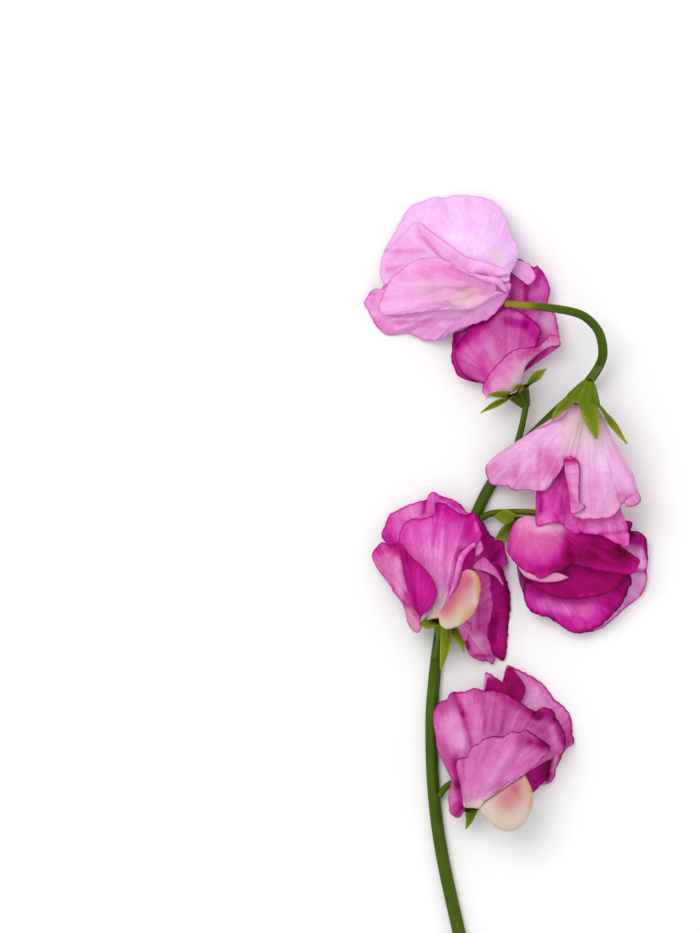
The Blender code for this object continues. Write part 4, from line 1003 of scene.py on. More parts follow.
def bloom_2(relief):
    """The large bloom to the left, over the stem, with its throat turned up."""
    calyx(
        relief, "bloom2_calyx", base=(-19.4, -11.4, 7.2), mouth=(-18.6, -6.6, 8.6), radius=2.8,
        top=(0.0, -1.0, 0.0),
        tips={0: (-19.3, -20.6, 6.0), 1: (-12.6, -15.2, 8.0), 4: (-25.4, -7.0, 12.6)}, reach=2.0,
        tone=0.55, warm=0.3, bow=0.6, broad=0.35, flare=(0.6, 0.75),
    )
    petal(
        relief, "bloom2_back_standard", "rose", claw=[(-20.0, -5.0, 12.0), (-18.0, -5.0, 12.0)],
        margin=[
            (-24, 4, 9), (-30, 11, 6), (-34.5, 16.2, 3), (-36.4, 18.6, 2.5), (-35.3, 21.5, 2.2),
            (-34.7, 23.5, 2), (-33.5, 25, 2), (-29, 27.3, 2), (-26, 28.4, 2.5), (-23.2, 29.1, 3),
            (-22.6, 30.6, 3.6), (-21.2, 31.2, 4), (-18.5, 30, 4), (-16, 29.2, 4), (-13.7, 28, 4.6),
            (-11.3, 25.2, 5), (-9.6, 25.4, 5), (-6.5, 22, 4), (-5.2, 19.5, 3), (-3, 17.7, 2.4),
            (-0.9, 16.6, 2), (-0.4, 14, 2), (0.4, 11.6, 2), (0.1, 10.2, 2), (-1.8, 10, 2.6), (-4, 8, 5),
            (-12, 1, 11),
        ],
        tone=0.42, heart=0.5, rim=(0.26, 0.6),
        tints_and_shade=[
            (-3.5, 13, -6, 18, 3.6, 0.52), (-7.5, 22.5, -9, 24, 1.8, 0.35),
            (-23.6, 28.5, -24, 25.5, 0.6, 0.4), (-35, 17.6, -32, 15.5, 1.5, 0.35),
            (-33.5, 23, -34, 20, 1.6, 0.1), (-30, 25, -26, 26, 2.0, -0.12),
            (-15, 27.6, -12.8, 26.8, 1.0, 0.25), (-19, 29.6, -15, 27.2, 0.5, 0.15),
        ],
        creases=[(-23.6, 29, -24, 24, 0.8, -0.7), (-21.6, 30, -21.8, 26, 1.0, 0.8)],
    )
    petal(
        relief, "bloom2_right_wing", "deep", claw=[(-16.6, -3.0, 12.4), (-16.0, -4.6, 12.4)],
        margin=[
            (-10, 8.0, 10), (-4.5, 10.2, 8), (-1.7, 9.8, 5.5), (-0.5, 7, 4), (0.5, 4, 1.8), (1.1, 1, 1.2),
            (1.1, -3, 0.8), (0.6, -8, 0.6), (0.3, -12, 0.6), (0.1, -14.8, 0.6), (-0.4, -17.2, 0.6),
            (-1.5, -17.8, 0.6), (-3.8, -15.5, 0.8), (-5.7, -10.7, 1.5), (-7.5, -5, 5), (-11.5, -4.5, 10),
        ],
        tone=0.8, heart=0.7, rim=(0.2, 0.7),
        tints_and_shade=[
            (-3.8, 5, -3.6, -3, 1.1, -0.14), (-2.5, -9, -1.6, -14, 1.2, -0.12),
            (-3.5, -6.5, -4.2, -12, 1.0, 0.14), (0.4, 3, 0.6, -9, 0.8, 0.15),
        ],
        creases=[(-2.2, 6, -2.0, -14, 1.0, 1.0), (-3.6, -4, -4.2, -12, 0.9, -0.6)],
    )
    petal(
        relief, "bloom2_right_lobe", "pale", claw=[(-15.8, -3.4, 13.6), (-15.2, -5.2, 13.6)],
        margin=[
            (-12, 4, 12.4), (-9.4, 9.2, 11.6), (-7, 8.4, 10.6), (-4.9, 7.4, 9.6), (-4.5, 2.5, 8),
            (-3.9, -1, 6.6), (-4.6, -5.5, 5), (-5.6, -10.2, 3), (-4.7, -13, 2.2), (-4.1, -15.5, 2),
            (-3.3, -17.2, 1.7), (-4.0, -18.9, 1.5), (-5.6, -17.9, 1.2), (-7, -18.1, 1), (-8.8, -17.2, 1),
            (-10.5, -16.2, 1), (-11.8, -13.4, 2.2), (-11.4, -11.5, 3.4), (-10.4, -8.8, 5.6),
            (-10.4, -7.2, 7.5), (-12.2, -6, 11),
        ],
        tone=0.52, heart=0.4, rim=(0.25, 0.5),
        tints_and_shade=[
            (-7.5, 6, -6.5, 4, 2.2, 0.1), (-8.6, -2, -8.2, -8, 0.8, 0.16), (-6, 0, -6.4, -9, 1.0, 0.1),
            (-8.5, -12, -8.5, -14, 1.6, -0.16), (-11.8, -12.4, -11.4, -13.8, 0.7, 0.5),
            (-9.5, -16.2, -4.5, -16.4, 0.4, 0.28),
        ],
        creases=[(-8.6, 2, -8.4, -10, 0.9, -0.7), (-6.2, 2, -6.6, -12, 1.0, 0.8)],
    )
    petal(
        relief, "bloom2_throat_rim", "pale",
        claw=[(-10.0, 9.2, 13), (-6.0, 8.2, 12), (-3.0, 6.6, 10.6), (-1.2, 4.0, 8)],
        margin=[
            (-10.2, 10.3, 13.2), (-8.2, 11.8, 13), (-6.8, 12.6, 12.6), (-5, 11.0, 12), (-2.8, 8.6, 11),
            (-0.9, 4.6, 8.6),
        ],
        tone=0.56, heart=0.4, rim=(0.2, 0.3), ruffle=0.08, belly=0.4, extra=True,
    )
    petal(
        relief, "bloom2_small_fold", "pale", claw=[(-9.9, 15.4, 12.6), (-9.2, 12.8, 12.6)],
        margin=[
            (-8.8, 16.6, 12.8), (-7.8, 17.4, 12.8), (-6.9, 15.6, 12.6), (-7.1, 14.2, 12.6),
            (-8.4, 12.9, 12.6),
        ],
        tone=0.42, rim=(0.2, 0.3), ruffle=0.06, extra=True,
    )
    petal(
        relief, "bloom2_standard", "rose",
        claw=[(-23.4, -5.8, 13.0), (-21.6, -5.4, 14.0), (-19.6, -5.0, 14.6)],
        margin=[
            (-21.0, -0.5, 14.8), (-20.4, 3, 14.8), (-23, 8, 14), (-25.3, 10.5, 13.2), (-28, 12.5, 12.5),
            (-30.3, 14.6, 11.8), (-31.3, 17, 11), (-31, 20, 10.5), (-29.8, 22.2, 10.5),
            (-27.5, 23.6, 10.6), (-24.5, 23.7, 11), (-21.2, 24.7, 11.4), (-20.9, 26.5, 11.5),
            (-20.7, 28.2, 11.5), (-18.5, 28.1, 12), (-16, 26.6, 12), (-14, 25.2, 11.8), (-12, 24.7, 11.5),
            (-9.4, 25.1, 10.5), (-8.2, 21.5, 10.8), (-7.3, 19, 11), (-9.2, 16.4, 12.4), (-12, 15.4, 13.6),
            (-14.4, 13.6, 14.4), (-15.6, 9, 14.8), (-16.4, 4, 15), (-17.4, 0.8, 15), (-18.6, -1.5, 15),
        ],
        tone=0.5, heart=0.14, rim=(0.3, 0.7), belly=1.0, ruffle=0.3,
        tints_and_shade=[
            (-19.4, -3, -18.6, 1.6, 1.8, -0.2), (-19.6, 1, -21, 14, 1.7, -0.06),
            (-21.5, 14, -22.5, 20, 2.0, -0.1), (-26, 18, -28, 17, 2.6, -0.04),
            (-9.6, 17.5, -11, 23.6, 3.0, 0.26), (-15, 24, -19, 26.8, 1.7, 0.24),
            (-20.4, 27.6, -20.4, 25.2, 0.9, 0.3), (-20.0, 24, -21.4, 16, 0.5, 0.16),
            (-18.6, 20, -19.2, 12, 0.8, -0.1), (-16.5, 13, -16.2, 5, 1.1, -0.1),
            (-14.6, 12, -15.4, 4, 0.6, 0.16), (-15, 16.5, -12, 16.4, 0.8, -0.1),
            (-29.6, 20, -30.2, 16, 1.0, 0.12), (-8.6, 20.5, -8.8, 22, 0.8, -0.3),
        ],
        warm=[(-19.8, -3.4, -19.4, 0.5, 1.9, 0.5), (-22.6, -5, -20.4, -3, 1.8, 0.6)],
        creases=[
            (-20.2, 24, -21.4, 14, 0.8, -0.7), (-18.6, 22, -19.2, 8, 1.1, 0.7),
            (-15.2, 14, -16.6, 2, 1.1, 0.8), (-25, 20, -24, 12, 1.6, 0.4),
        ],
    )
    # A deep crimson sheet in the throat between the lip and the right lobe: painted shade for the hollow,
    # over the deep petals inside it.
    petal(
        relief, "bloom2_throat", "deep",
        claw=[(-13.2, 8.2, 15.2), (-13.8, 11.0, 15.2), (-12.6, 13.4, 15.0), (-10.6, 15.2, 14.4)],
        margin=[(-10.6, 8.2, 14.6), (-9.9, 10.2, 14.2), (-9.3, 12.8, 13.6), (-9.2, 15.6, 13.4)],
        tone=0.84, heart=0.72, rim=(0.0, 0.5), ruffle=0.05, extra=True,
    )
    petal(
        relief, "bloom2_standard_lip", "rose",
        claw=[
            (-18.2, -1.8, 15.4), (-17.0, 1.6, 15.6), (-15.8, 5.0, 15.8), (-15.0, 9.0, 15.8),
            (-14.3, 12.0, 15.6), (-12.6, 14.5, 15.2), (-9.6, 16.8, 14.0),
        ],
        margin=[
            (-16.9, -1.4, 15.6), (-15.4, 1.6, 16.0), (-14.2, 5.0, 16.0), (-13.2, 8.6, 16.0),
            (-12.6, 11.6, 15.8), (-11.0, 14.0, 15.4), (-8.8, 16.0, 14.0),
        ],
        tone=0.4, heart=0.3, rim=(0.2, 0.25), belly=0.7, ruffle=0.05,
        tints_and_shade=[(-12.4, 10, -10, 15, 1.0, 0.2)], extra=True,
    )
    petal(
        relief, "bloom2_left_wing_roll", "pale", claw=[(-25.4, -7.2, 11), (-25.0, -5.8, 12)],
        margin=[
            (-24.7, -7.8, 10), (-26, -9.5, 9), (-28.2, -7.9, 8), (-29.1, -5, 8), (-30.5, -0.4, 8),
            (-33, 2.4, 7), (-33.8, 4.8, 6.8), (-37, 8.2, 5.5), (-39.1, 12.5, 5.5), (-38, 15.1, 7),
            (-36, 16.7, 9), (-33.6, 15.9, 11), (-30.8, 16.4, 13.2), (-30.0, 12, 14), (-29.2, 6, 14.4),
            (-27.6, -0.5, 14.6), (-26.0, -3.6, 14),
        ],
        tone=0.52, heart=0.42, rim=(0.22, 0.6), belly=1.4, ruffle=0.25,
        tints_and_shade=[
            (-32.4, 15.6, -31, 13.5, 1.6, 0.3), (-31.8, 12, -31.2, 2, 1.2, -0.16),
            (-37, 14, -34, 15.6, 1.4, 0.16), (-30.4, -0.6, -28.6, -1.6, 0.6, 0.25),
            (-33.6, 4, -31.5, 0.8, 0.8, 0.15), (-29, 2, -26.4, -4.4, 0.8, 0.25),
        ],
        warm=[(-28, -4, -26.6, -8, 1.8, 0.22)], creases=[(-32, 13, -30.5, 0, 1.5, 0.8)], extra=True,
    )
    petal(
        relief, "bloom2_left_wing", "deep", claw=[(-25.6, -5.4, 14.5), (-24.8, -5.2, 15.2)],
        margin=[
            (-23.4, -3.2, 16.6), (-22, -1.4, 17.2), (-20.8, 0.8, 17.6), (-20.4, 2.7, 17.6),
            (-21.2, 5.2, 17.4), (-22.6, 7.6, 17), (-25.3, 10.6, 16), (-28, 12.8, 15), (-31.2, 16.6, 13),
            (-30.8, 12.4, 13.4), (-29.6, 6, 13.8), (-28.2, 1, 13.8), (-27.0, -2.5, 13.8),
        ],
        tone=0.66, heart=0.62, rim=(0.12, 0.9), belly=0.8, ruffle=0.25,
        tints_and_shade=[
            (-24.5, 2, -25, 4, 1.8, -0.12), (-30.4, 14, -28.6, 11.4, 1.4, 0.1),
            (-27.2, 6, -26, 8, 1.6, -0.05),
        ],
    )
    keel(
        relief, "bloom2_keel",
        spine=[
            (-19.8, -4.8), (-19.4, -6.9), (-17.6, -8.1), (-14.6, -7.4), (-11.6, -5.4), (-9.6, -3.0),
            (-8.4, 0.4), (-7.9, 4.0), (-8.6, 7.0), (-10.2, 8.6), (-12.0, 8.9),
        ],
        edge=[(-19.6, -3.4), (-18.4, -1.6), (-16.4, 0.8), (-14.6, 3.6), (-13.6, 6.2), (-13.0, 8.2)],
        height=15.6, half_width=1.5,
        tone=[
            (-13, 6.6, -18, -2, 3.3, 1.0), (-10.4, 5, -11.6, -0.5, 1.8, 0.3),
            (-12, -4, -10.4, -2.4, 1.2, 0.25),
        ],
        warm=[
            (-8.8, 7.4, -8.2, 1.0, 0.9, 0.95), (-9.4, -2.4, -13, -6, 0.9, 0.6),
            (-16, -4, -13, -3, 2.0, 0.25),
        ],
    )


def bloom_3(relief):
    """The dark bloom to the right, with its petals folded over each other."""
    calyx(
        relief, "bloom3_calyx", base=(8.6, 23.2, 4.2), mouth=(4.4, 21.0, 7.0), radius=3.3,
        top=(-0.7, 0.7, 0.0), tips={0: (-3.4, 24.3, 4.5), 1: (-3.2, 17.5, 3.5)}, reach=2.0, tone=0.35,
        warm=0.2, bow=0.3, broad=0.7, flare=(0.6, 0.6),
    )
    # Its low tone is partly painted light: the petal is made paler than its own colour to offset the shade
    # of the petals above it.
    petal(
        relief, "bloom3_outer_petal", "blush", claw=[(5.0, 19.4, 8.0), (3.4, 17.4, 8.0)],
        margin=[
            (14, 21.5, 6), (25, 22.8, 5), (33.4, 23, 5), (36.6, 22.4, 5), (36.1, 20, 4.8),
            (38, 19.8, 4.5), (40, 18.7, 4.2), (40.8, 16.8, 4), (41.2, 11, 3), (40.8, 8.4, 2.8),
            (41.0, 6.5, 2.4), (40.7, 4, 2), (39.6, 1.8, 1.5), (38, 0, 1), (35.5, -1.9, 0.7),
            (32.5, -4.6, 0.5), (28.5, -8.0, 0.4), (23, -9.5, 0.4), (14, -5.5, 0.5), (7, -2, 2),
            (4.2, 3.8, 4.5), (3.0, 9.3, 7.5),
        ],
        tone=0.08, heart=0.3, rim=(0.4, 0.6), belly=-1.5, ruffle=0.3,
        tints_and_shade=[
            (36.0, 17.8, 39.2, 17.4, 2.8, 0.85), (34.6, 22, 35.4, 20, 1.8, 0.7),
            (40.6, 15, 40.8, 12, 0.9, 0.5), (38, 8.3, 41, 8.2, 0.8, 0.5),
            (38.5, 3.5, 39.5, 2.4, 1.6, 0.2), (36.8, 0.5, 34.8, -1, 1.0, 0.15),
            (4.5, 5, 4.2, 8, 1.2, 0.2),
        ],
        creases=[(37.5, 8.2, 41, 8.2, 0.9, -0.7), (39, 14, 38.5, 11, 1.2, 0.6)],
    )
    petal(
        relief, "bloom3_lower_lip", "rose", claw=[(4.6, 17.6, 9.0), (3.4, 15.8, 9.0)],
        margin=[
            (18, 15, 7), (28, 12, 7), (35.9, 7, 7.5), (35.2, 2.5, 7), (34, -0.5, 6.4), (32.5, -2.7, 5.5),
            (30.5, -4.7, 5), (28, -7.2, 4.5), (25, -9.0, 4), (22.5, -9.8, 4), (20, -9.8, 4),
            (18, -9.1, 4.2), (15, -7.1, 4.5), (12.5, -5.4, 4.8), (8.5, -4.3, 5), (6.5, -2.8, 5.5),
            (5.3, -0.5, 6), (5, 2.4, 6.6), (5.3, 5, 7.2), (4, 10, 8.4),
        ],
        tone=0.66, heart=0.9, rim=(0.42, 1.2), belly=-1.2, ruffle=0.35,
        tints_and_shade=[
            (11, -1.2, 17, -2.6, 2.0, -0.24), (19, -3.6, 24.5, -3, 2.2, -0.18),
            (30.5, -1, 33.5, 3.5, 2.0, 0.26), (27.5, -2, 29.5, -3.5, 2.0, 0.1),
            (14.5, -5, 20, -8, 1.2, 0.1), (20, -6.5, 21, -8, 1.0, -0.16), (7.0, 3, 10, 1.4, 1.0, 0.12),
        ],
        creases=[(17.6, 0, 18, -5, 0.9, 0.4), (21, 0, 21, -6, 0.8, -0.4), (12.5, 1, 13.5, -4, 0.9, -0.4)],
    )
    keel(
        relief, "bloom3_keel", spine=[(6.0, 13.5), (8.5, 11.0), (13.0, 9.8), (17.5, 11.0)],
        edge=[(7.0, 15.0), (10.0, 14.0), (13.5, 13.2), (17.0, 13.0)], height=9.5, half_width=1.2,
    )
    petal(
        relief, "bloom3_middle_petal", "deep", claw=[(5.4, 19.6, 11.4), (4.0, 17.6, 11.4)],
        margin=[
            (16, 18.5, 11), (26, 16.5, 11), (33, 13, 10.5), (36.2, 9.2, 10), (35.6, 7, 9.8),
            (32.5, 4, 9.2), (30, 2.2, 8.8), (27, 1.2, 8.5), (23.5, 0.6, 8.5), (20, 0.2, 8.5),
            (14.5, 0.8, 8.5), (11.5, 1.6, 8.7), (7.5, 4.2, 9), (4.6, 6.2, 9.6), (3.8, 8.6, 10.4),
            (3, 14, 11.4),
        ],
        tone=0.84, heart=0.92, rim=(0.16, 1.0), belly=0.6, ruffle=0.3,
        tints_and_shade=[
            (19, 5, 24, 6.5, 2.6, 0.0), (34.6, 8, 33, 5.4, 1.0, 0.16), (5, 7.2, 6.8, 5.2, 1.0, 0.14),
            (21, 1.4, 22, 1.4, 0.5, -0.3), (24.2, 1.6, 25.6, 1.8, 0.5, -0.25),
            (11, 3.2, 15, 3.4, 1.4, -0.05),
        ],
        creases=[(9, 4.4, 30, 4.8, 1.6, 0.6), (16, 8, 28, 9, 1.2, -0.4)],
    )
    petal(
        relief, "bloom3_pale_fold", "pale",
        claw=[
            (3.1, 9.9, 12.4), (5.4, 8.4, 12.8), (8.6, 6.9, 13.0), (10.6, 6.6, 13), (13.9, 8.0, 13),
            (17.4, 6.8, 12.4),
        ],
        margin=[
            (3.4, 9.1, 12.2), (5.2, 6.9, 12.4), (8.4, 5.6, 12.6), (11, 5.2, 12.6), (14.6, 5.5, 12.6),
            (17.8, 6.5, 12.2),
        ],
        tone=0.42, heart=0.34, rim=(0.1, 0.2), ruffle=0.05, warm=[(4, 8.2, 15, 6.8, 1.8, 0.3)],
        extra=True,
    )
    # Its deeper strokes toward the lower right are partly the petal's own deep margin, partly painted shade
    # on the side of the domed petal that turns away from the light.
    petal(
        relief, "bloom3_standard", "deep",
        claw=[(3.6, 23.6, 11.6), (5.4, 24.4, 12.2), (8.0, 24.1, 12.6), (12.0, 22.8, 12.8)],
        margin=[
            (2.2, 22.6, 11.0), (0.9, 19.5, 11.0), (0.0, 15.0, 11.0), (1.0, 12.4, 11.5), (3.0, 10.0, 12.0),
            (5.0, 8.5, 12.4), (7.4, 7.6, 13.0), (9.6, 6.1, 13.2), (12.0, 7.2, 13.5), (14.0, 8.2, 13.6),
            (16.4, 8.8, 13.6), (20.0, 10.0, 13.4), (27.0, 8.6, 12.8), (35.6, 7.5, 12.0),
            (37.2, 8.4, 11.6), (38.2, 10.0, 11.4), (38.3, 11.8, 11.4), (36.0, 13.4, 11.6),
            (33.0, 15.7, 12.0), (30.4, 17.2, 12.3), (27.5, 18.6, 12.5), (20.0, 20.6, 13.0),
            (15.0, 22.0, 13.0),
        ],
        tone=0.4, heart=0.06, rim=(0.2, 0.8), belly=1.0, ruffle=0.3,
        tints_and_shade=[
            (5, 22.6, 8, 22, 2.2, -0.14), (10, 21, 14.5, 21, 1.6, -0.28), (22, 19.4, 33, 15, 3.6, 0.44),
            (20, 11.4, 34, 11, 3.8, 0.44), (19, 15, 24, 15, 3.2, 0.34), (9, 8.4, 18, 9.6, 1.6, 0.34),
            (13, 11, 17, 12, 1.6, 0.16), (17.5, 18.6, 17, 14, 1.8, 0.22), (3, 11.6, 6, 9.6, 1.6, 0.1),
            (32, 14.6, 37.5, 12, 1.2, 0.12), (24, 10, 30, 9, 1.6, -0.06),
        ],
        creases=[(18, 19, 20, 12, 1.8, -1.2), (24, 15, 33, 11, 1.6, 0.9), (12, 12, 19, 10, 1.2, -0.6)],
    )


def bloom_4(relief):
    """The pale bloom that hangs over bloom 3, seen from the back of its standard."""
    petal(
        relief, "bloom4_left_wing", "rose", claw=[(19.4, 52.0, 16.0), (21.2, 51.6, 16.0)],
        margin=[
            (15.5, 44, 16.0), (11, 37, 15.5), (8.5, 31.5, 14), (8.2, 25, 13), (8.2, 22.2, 13),
            (9, 21.3, 13), (11, 21.9, 13.2), (13, 22.3, 13.6), (15.6, 22.2, 14), (16.8, 21, 14),
            (17.8, 20.0, 14), (21.0, 19.8, 14.5), (22, 30, 15.6), (22, 42, 16.2),
        ],
        tone=0.5, heart=0.5, rim=(0.2, 0.5), ruffle=0.35,
        tints_and_shade=[
            (15.6, 34.6, 16.6, 33, 1.6, 0.2), (13, 31, 15, 26, 2.0, 0.1), (9.5, 31, 9.6, 26, 1.0, 0.22),
            (10.5, 24, 11.5, 22.6, 1.5, -0.12), (14, 24.4, 15, 22.8, 0.8, 0.16),
            (18, 32, 18.3, 26, 1.0, 0.12),
        ],
        creases=[
            (10.2, 31, 10.4, 23, 0.9, -0.9), (14, 31, 16, 22, 1.2, 0.8), (12, 26, 14.5, 22.5, 0.7, -0.5),
        ],
    )
    petal(
        relief, "bloom4_right_wing", "rose", claw=[(22.4, 51.6, 16.8), (24.2, 52.0, 16.8)],
        margin=[
            (22.0, 43, 16.8), (21.0, 32, 16.2), (20.4, 23, 15.4), (20.6, 20.0, 15), (23.5, 19.2, 15),
            (27, 18.8, 14.6), (28.8, 17.9, 14.4), (31, 16.7, 14), (33, 15.9, 13.5), (35.1, 15.5, 13),
            (35.3, 18, 13), (35.2, 19.8, 13), (33.4, 22.6, 13.4), (32.5, 26, 14), (31, 35, 16),
            (28, 45, 17.0),
        ],
        tone=0.4, heart=0.45, rim=(0.24, 0.45), ruffle=0.35,
        tints_and_shade=[
            (27, 19.2, 35, 19.8, 0.5, 0.22), (24, 21.5, 30, 21.5, 2.0, -0.05),
            (22, 22.6, 22, 20.2, 0.8, 0.12), (31, 17.8, 34, 17, 1.2, 0.08),
        ],
        creases=[(27, 19.2, 35, 19.8, 0.8, -0.8), (30, 24, 32, 17, 1.0, 0.5)],
    )
    keel(
        relief, "bloom4_keel", spine=[(23.6, 49.0), (25.0, 43.0), (24.0, 38.5), (22.5, 36.0)],
        edge=[(22.0, 48.6), (22.0, 44.0), (22.0, 40.0), (21.6, 37.0)], height=17.4, half_width=1.0,
    )
    petal(
        relief, "bloom4_standard", "pale", claw=[(18.8, 57.0, 18.0), (25.0, 57.0, 18.0)],
        margin=[
            (15.2, 52.2, 18.0), (12.5, 51.4, 16.5), (5, 47.3, 11.5), (0, 44, 8), (-3.5, 41.5, 6.6),
            (-5.6, 39.4, 6), (-6.2, 37.8, 5.6), (-5.4, 34.8, 5.5), (-4.3, 33.4, 5.5), (-2, 33.2, 6.2),
            (0, 33, 7), (1.6, 32, 7.8), (3, 31.6, 8.4), (5, 32, 9.6), (8, 31.6, 11), (10.4, 31.6, 12.6),
            (11.8, 32.4, 14), (14.3, 35.8, 17), (15.6, 38, 18.4), (16.6, 40.8, 19.8), (16.8, 37, 20),
            (17.5, 32, 20), (18.0, 27.5, 19.5), (18.6, 24.6, 19.2), (20.4, 23.7, 19), (22.5, 23.4, 18.8),
            (27.5, 23.6, 18), (30.5, 24.3, 17), (32.4, 26.6, 16), (33.4, 28.2, 15), (35.6, 27.4, 14.6),
            (37.6, 27.8, 14), (38.5, 29.6, 13.8), (37.6, 31.6, 13.8), (37.1, 33.4, 13.8),
            (36.4, 36.4, 14), (34.6, 38.7, 14.6), (33.2, 41.4, 15), (30.3, 46.5, 17), (28.4, 51.6, 18.4),
        ],
        tone=0.2, heart=0.02, rim=(0.34, 0.4), belly=1.4, ruffle=0.35,
        tints_and_shade=[
            (0, 36, 10, 36, 2.8, 0.08), (1.9, 35.6, 2.3, 33, 1.3, 0.12), (11.6, 42, 14, 37, 2.6, 0.24),
            (9.6, 44, 8.6, 33, 0.7, 0.12), (3.8, 41, 2.6, 35, 0.6, 0.1),
            (-4.8, 37.6, -3.4, 38.6, 1.6, 0.12), (34.5, 29.5, 33, 30, 1.8, 0.14),
            (24, 33, 26, 26, 2.4, 0.05), (17.0, 40.6, 19, 40.4, 1.0, 0.5), (29, 38, 33, 34, 3.2, -0.08),
            (25, 44, 27, 40, 2.4, -0.08), (34.2, 28.6, 37.4, 30.8, 0.4, 0.3),
        ],
        warm=[(20.5, 53, 18, 46.5, 3.0, 0.5), (27, 51, 28, 47, 2.4, 0.4), (22, 52, 24, 47, 2.5, 0.45)],
        creases=[
            (13.5, 48, 12, 42, 1.3, -0.7), (19, 50, 17, 43, 1.4, 0.8), (10, 45, 9, 33, 1.0, -0.7),
            (3.6, 42, 2.4, 33, 0.9, -0.6), (6.5, 44, 5.5, 34, 1.2, 0.5), (29.5, 46, 27, 26, 1.4, 0.6),
            (32.5, 43, 34, 32, 1.2, -0.5),
        ],
    )
    petal(
        relief, "bloom4_inner_fold", "pale",
        claw=[
            (16.6, 41.4, 20.6), (16.4, 38, 20.8), (17.2, 33.5, 20.8), (18.0, 28, 20.4), (18.5, 24.9, 20),
        ],
        margin=[
            (18.2, 41.6, 20.8), (20.2, 40.3, 21.2), (20.8, 38, 21.4), (20.7, 34, 21.4), (20.6, 31, 21.2),
            (20.8, 28.4, 21), (22.3, 27.3, 20.8), (21.6, 26.2, 20.6), (19.0, 24.9, 20.2),
        ],
        tone=0.34, heart=0.44, rim=(0.55, 0.3), ruffle=0.12, belly=0.5,
        tints_and_shade=[
            (16.8, 40.6, 19, 40.4, 0.8, 0.45), (18.4, 38, 18.8, 32, 1.1, -0.1),
            (17.2, 34, 18.4, 29, 0.8, 0.12),
        ],
        extra=True,
    )
    petal(
        relief, "bloom4_curled_tip", "pale",
        claw=[(33.8, 28.6, 16.4), (35.6, 29.9, 16.4), (37.6, 31.3, 15.8)],
        margin=[
            (34.4, 27.3, 16.2), (35.6, 27.1, 16.2), (37.2, 27.5, 16), (38.4, 28.7, 15.6),
            (38.3, 30.4, 15.4),
        ],
        tone=0.38, heart=0.34, rim=(0.55, 0.25), ruffle=0.06, belly=0.5, extra=True,
    )
    calyx(
        relief, "bloom4_calyx", base=(23.6, 63.4, 17.6), mouth=(21.9, 57.8, 17.0), radius=4.8,
        top=(0.3, 0.0, 1.0),
        tips={
            0: (25.5, 46.6, 22.6), 1: (12.8, 52.0, 19.4), 2: (20.4, 56.4, 12.6), 3: (24.4, 56.4, 12.6),
            4: (34.3, 45.2, 20.5),
        },
        tone=0.6, warm=0.25, bow=0.8, broad=0.12, flare=(0.6, 0.32),
    )


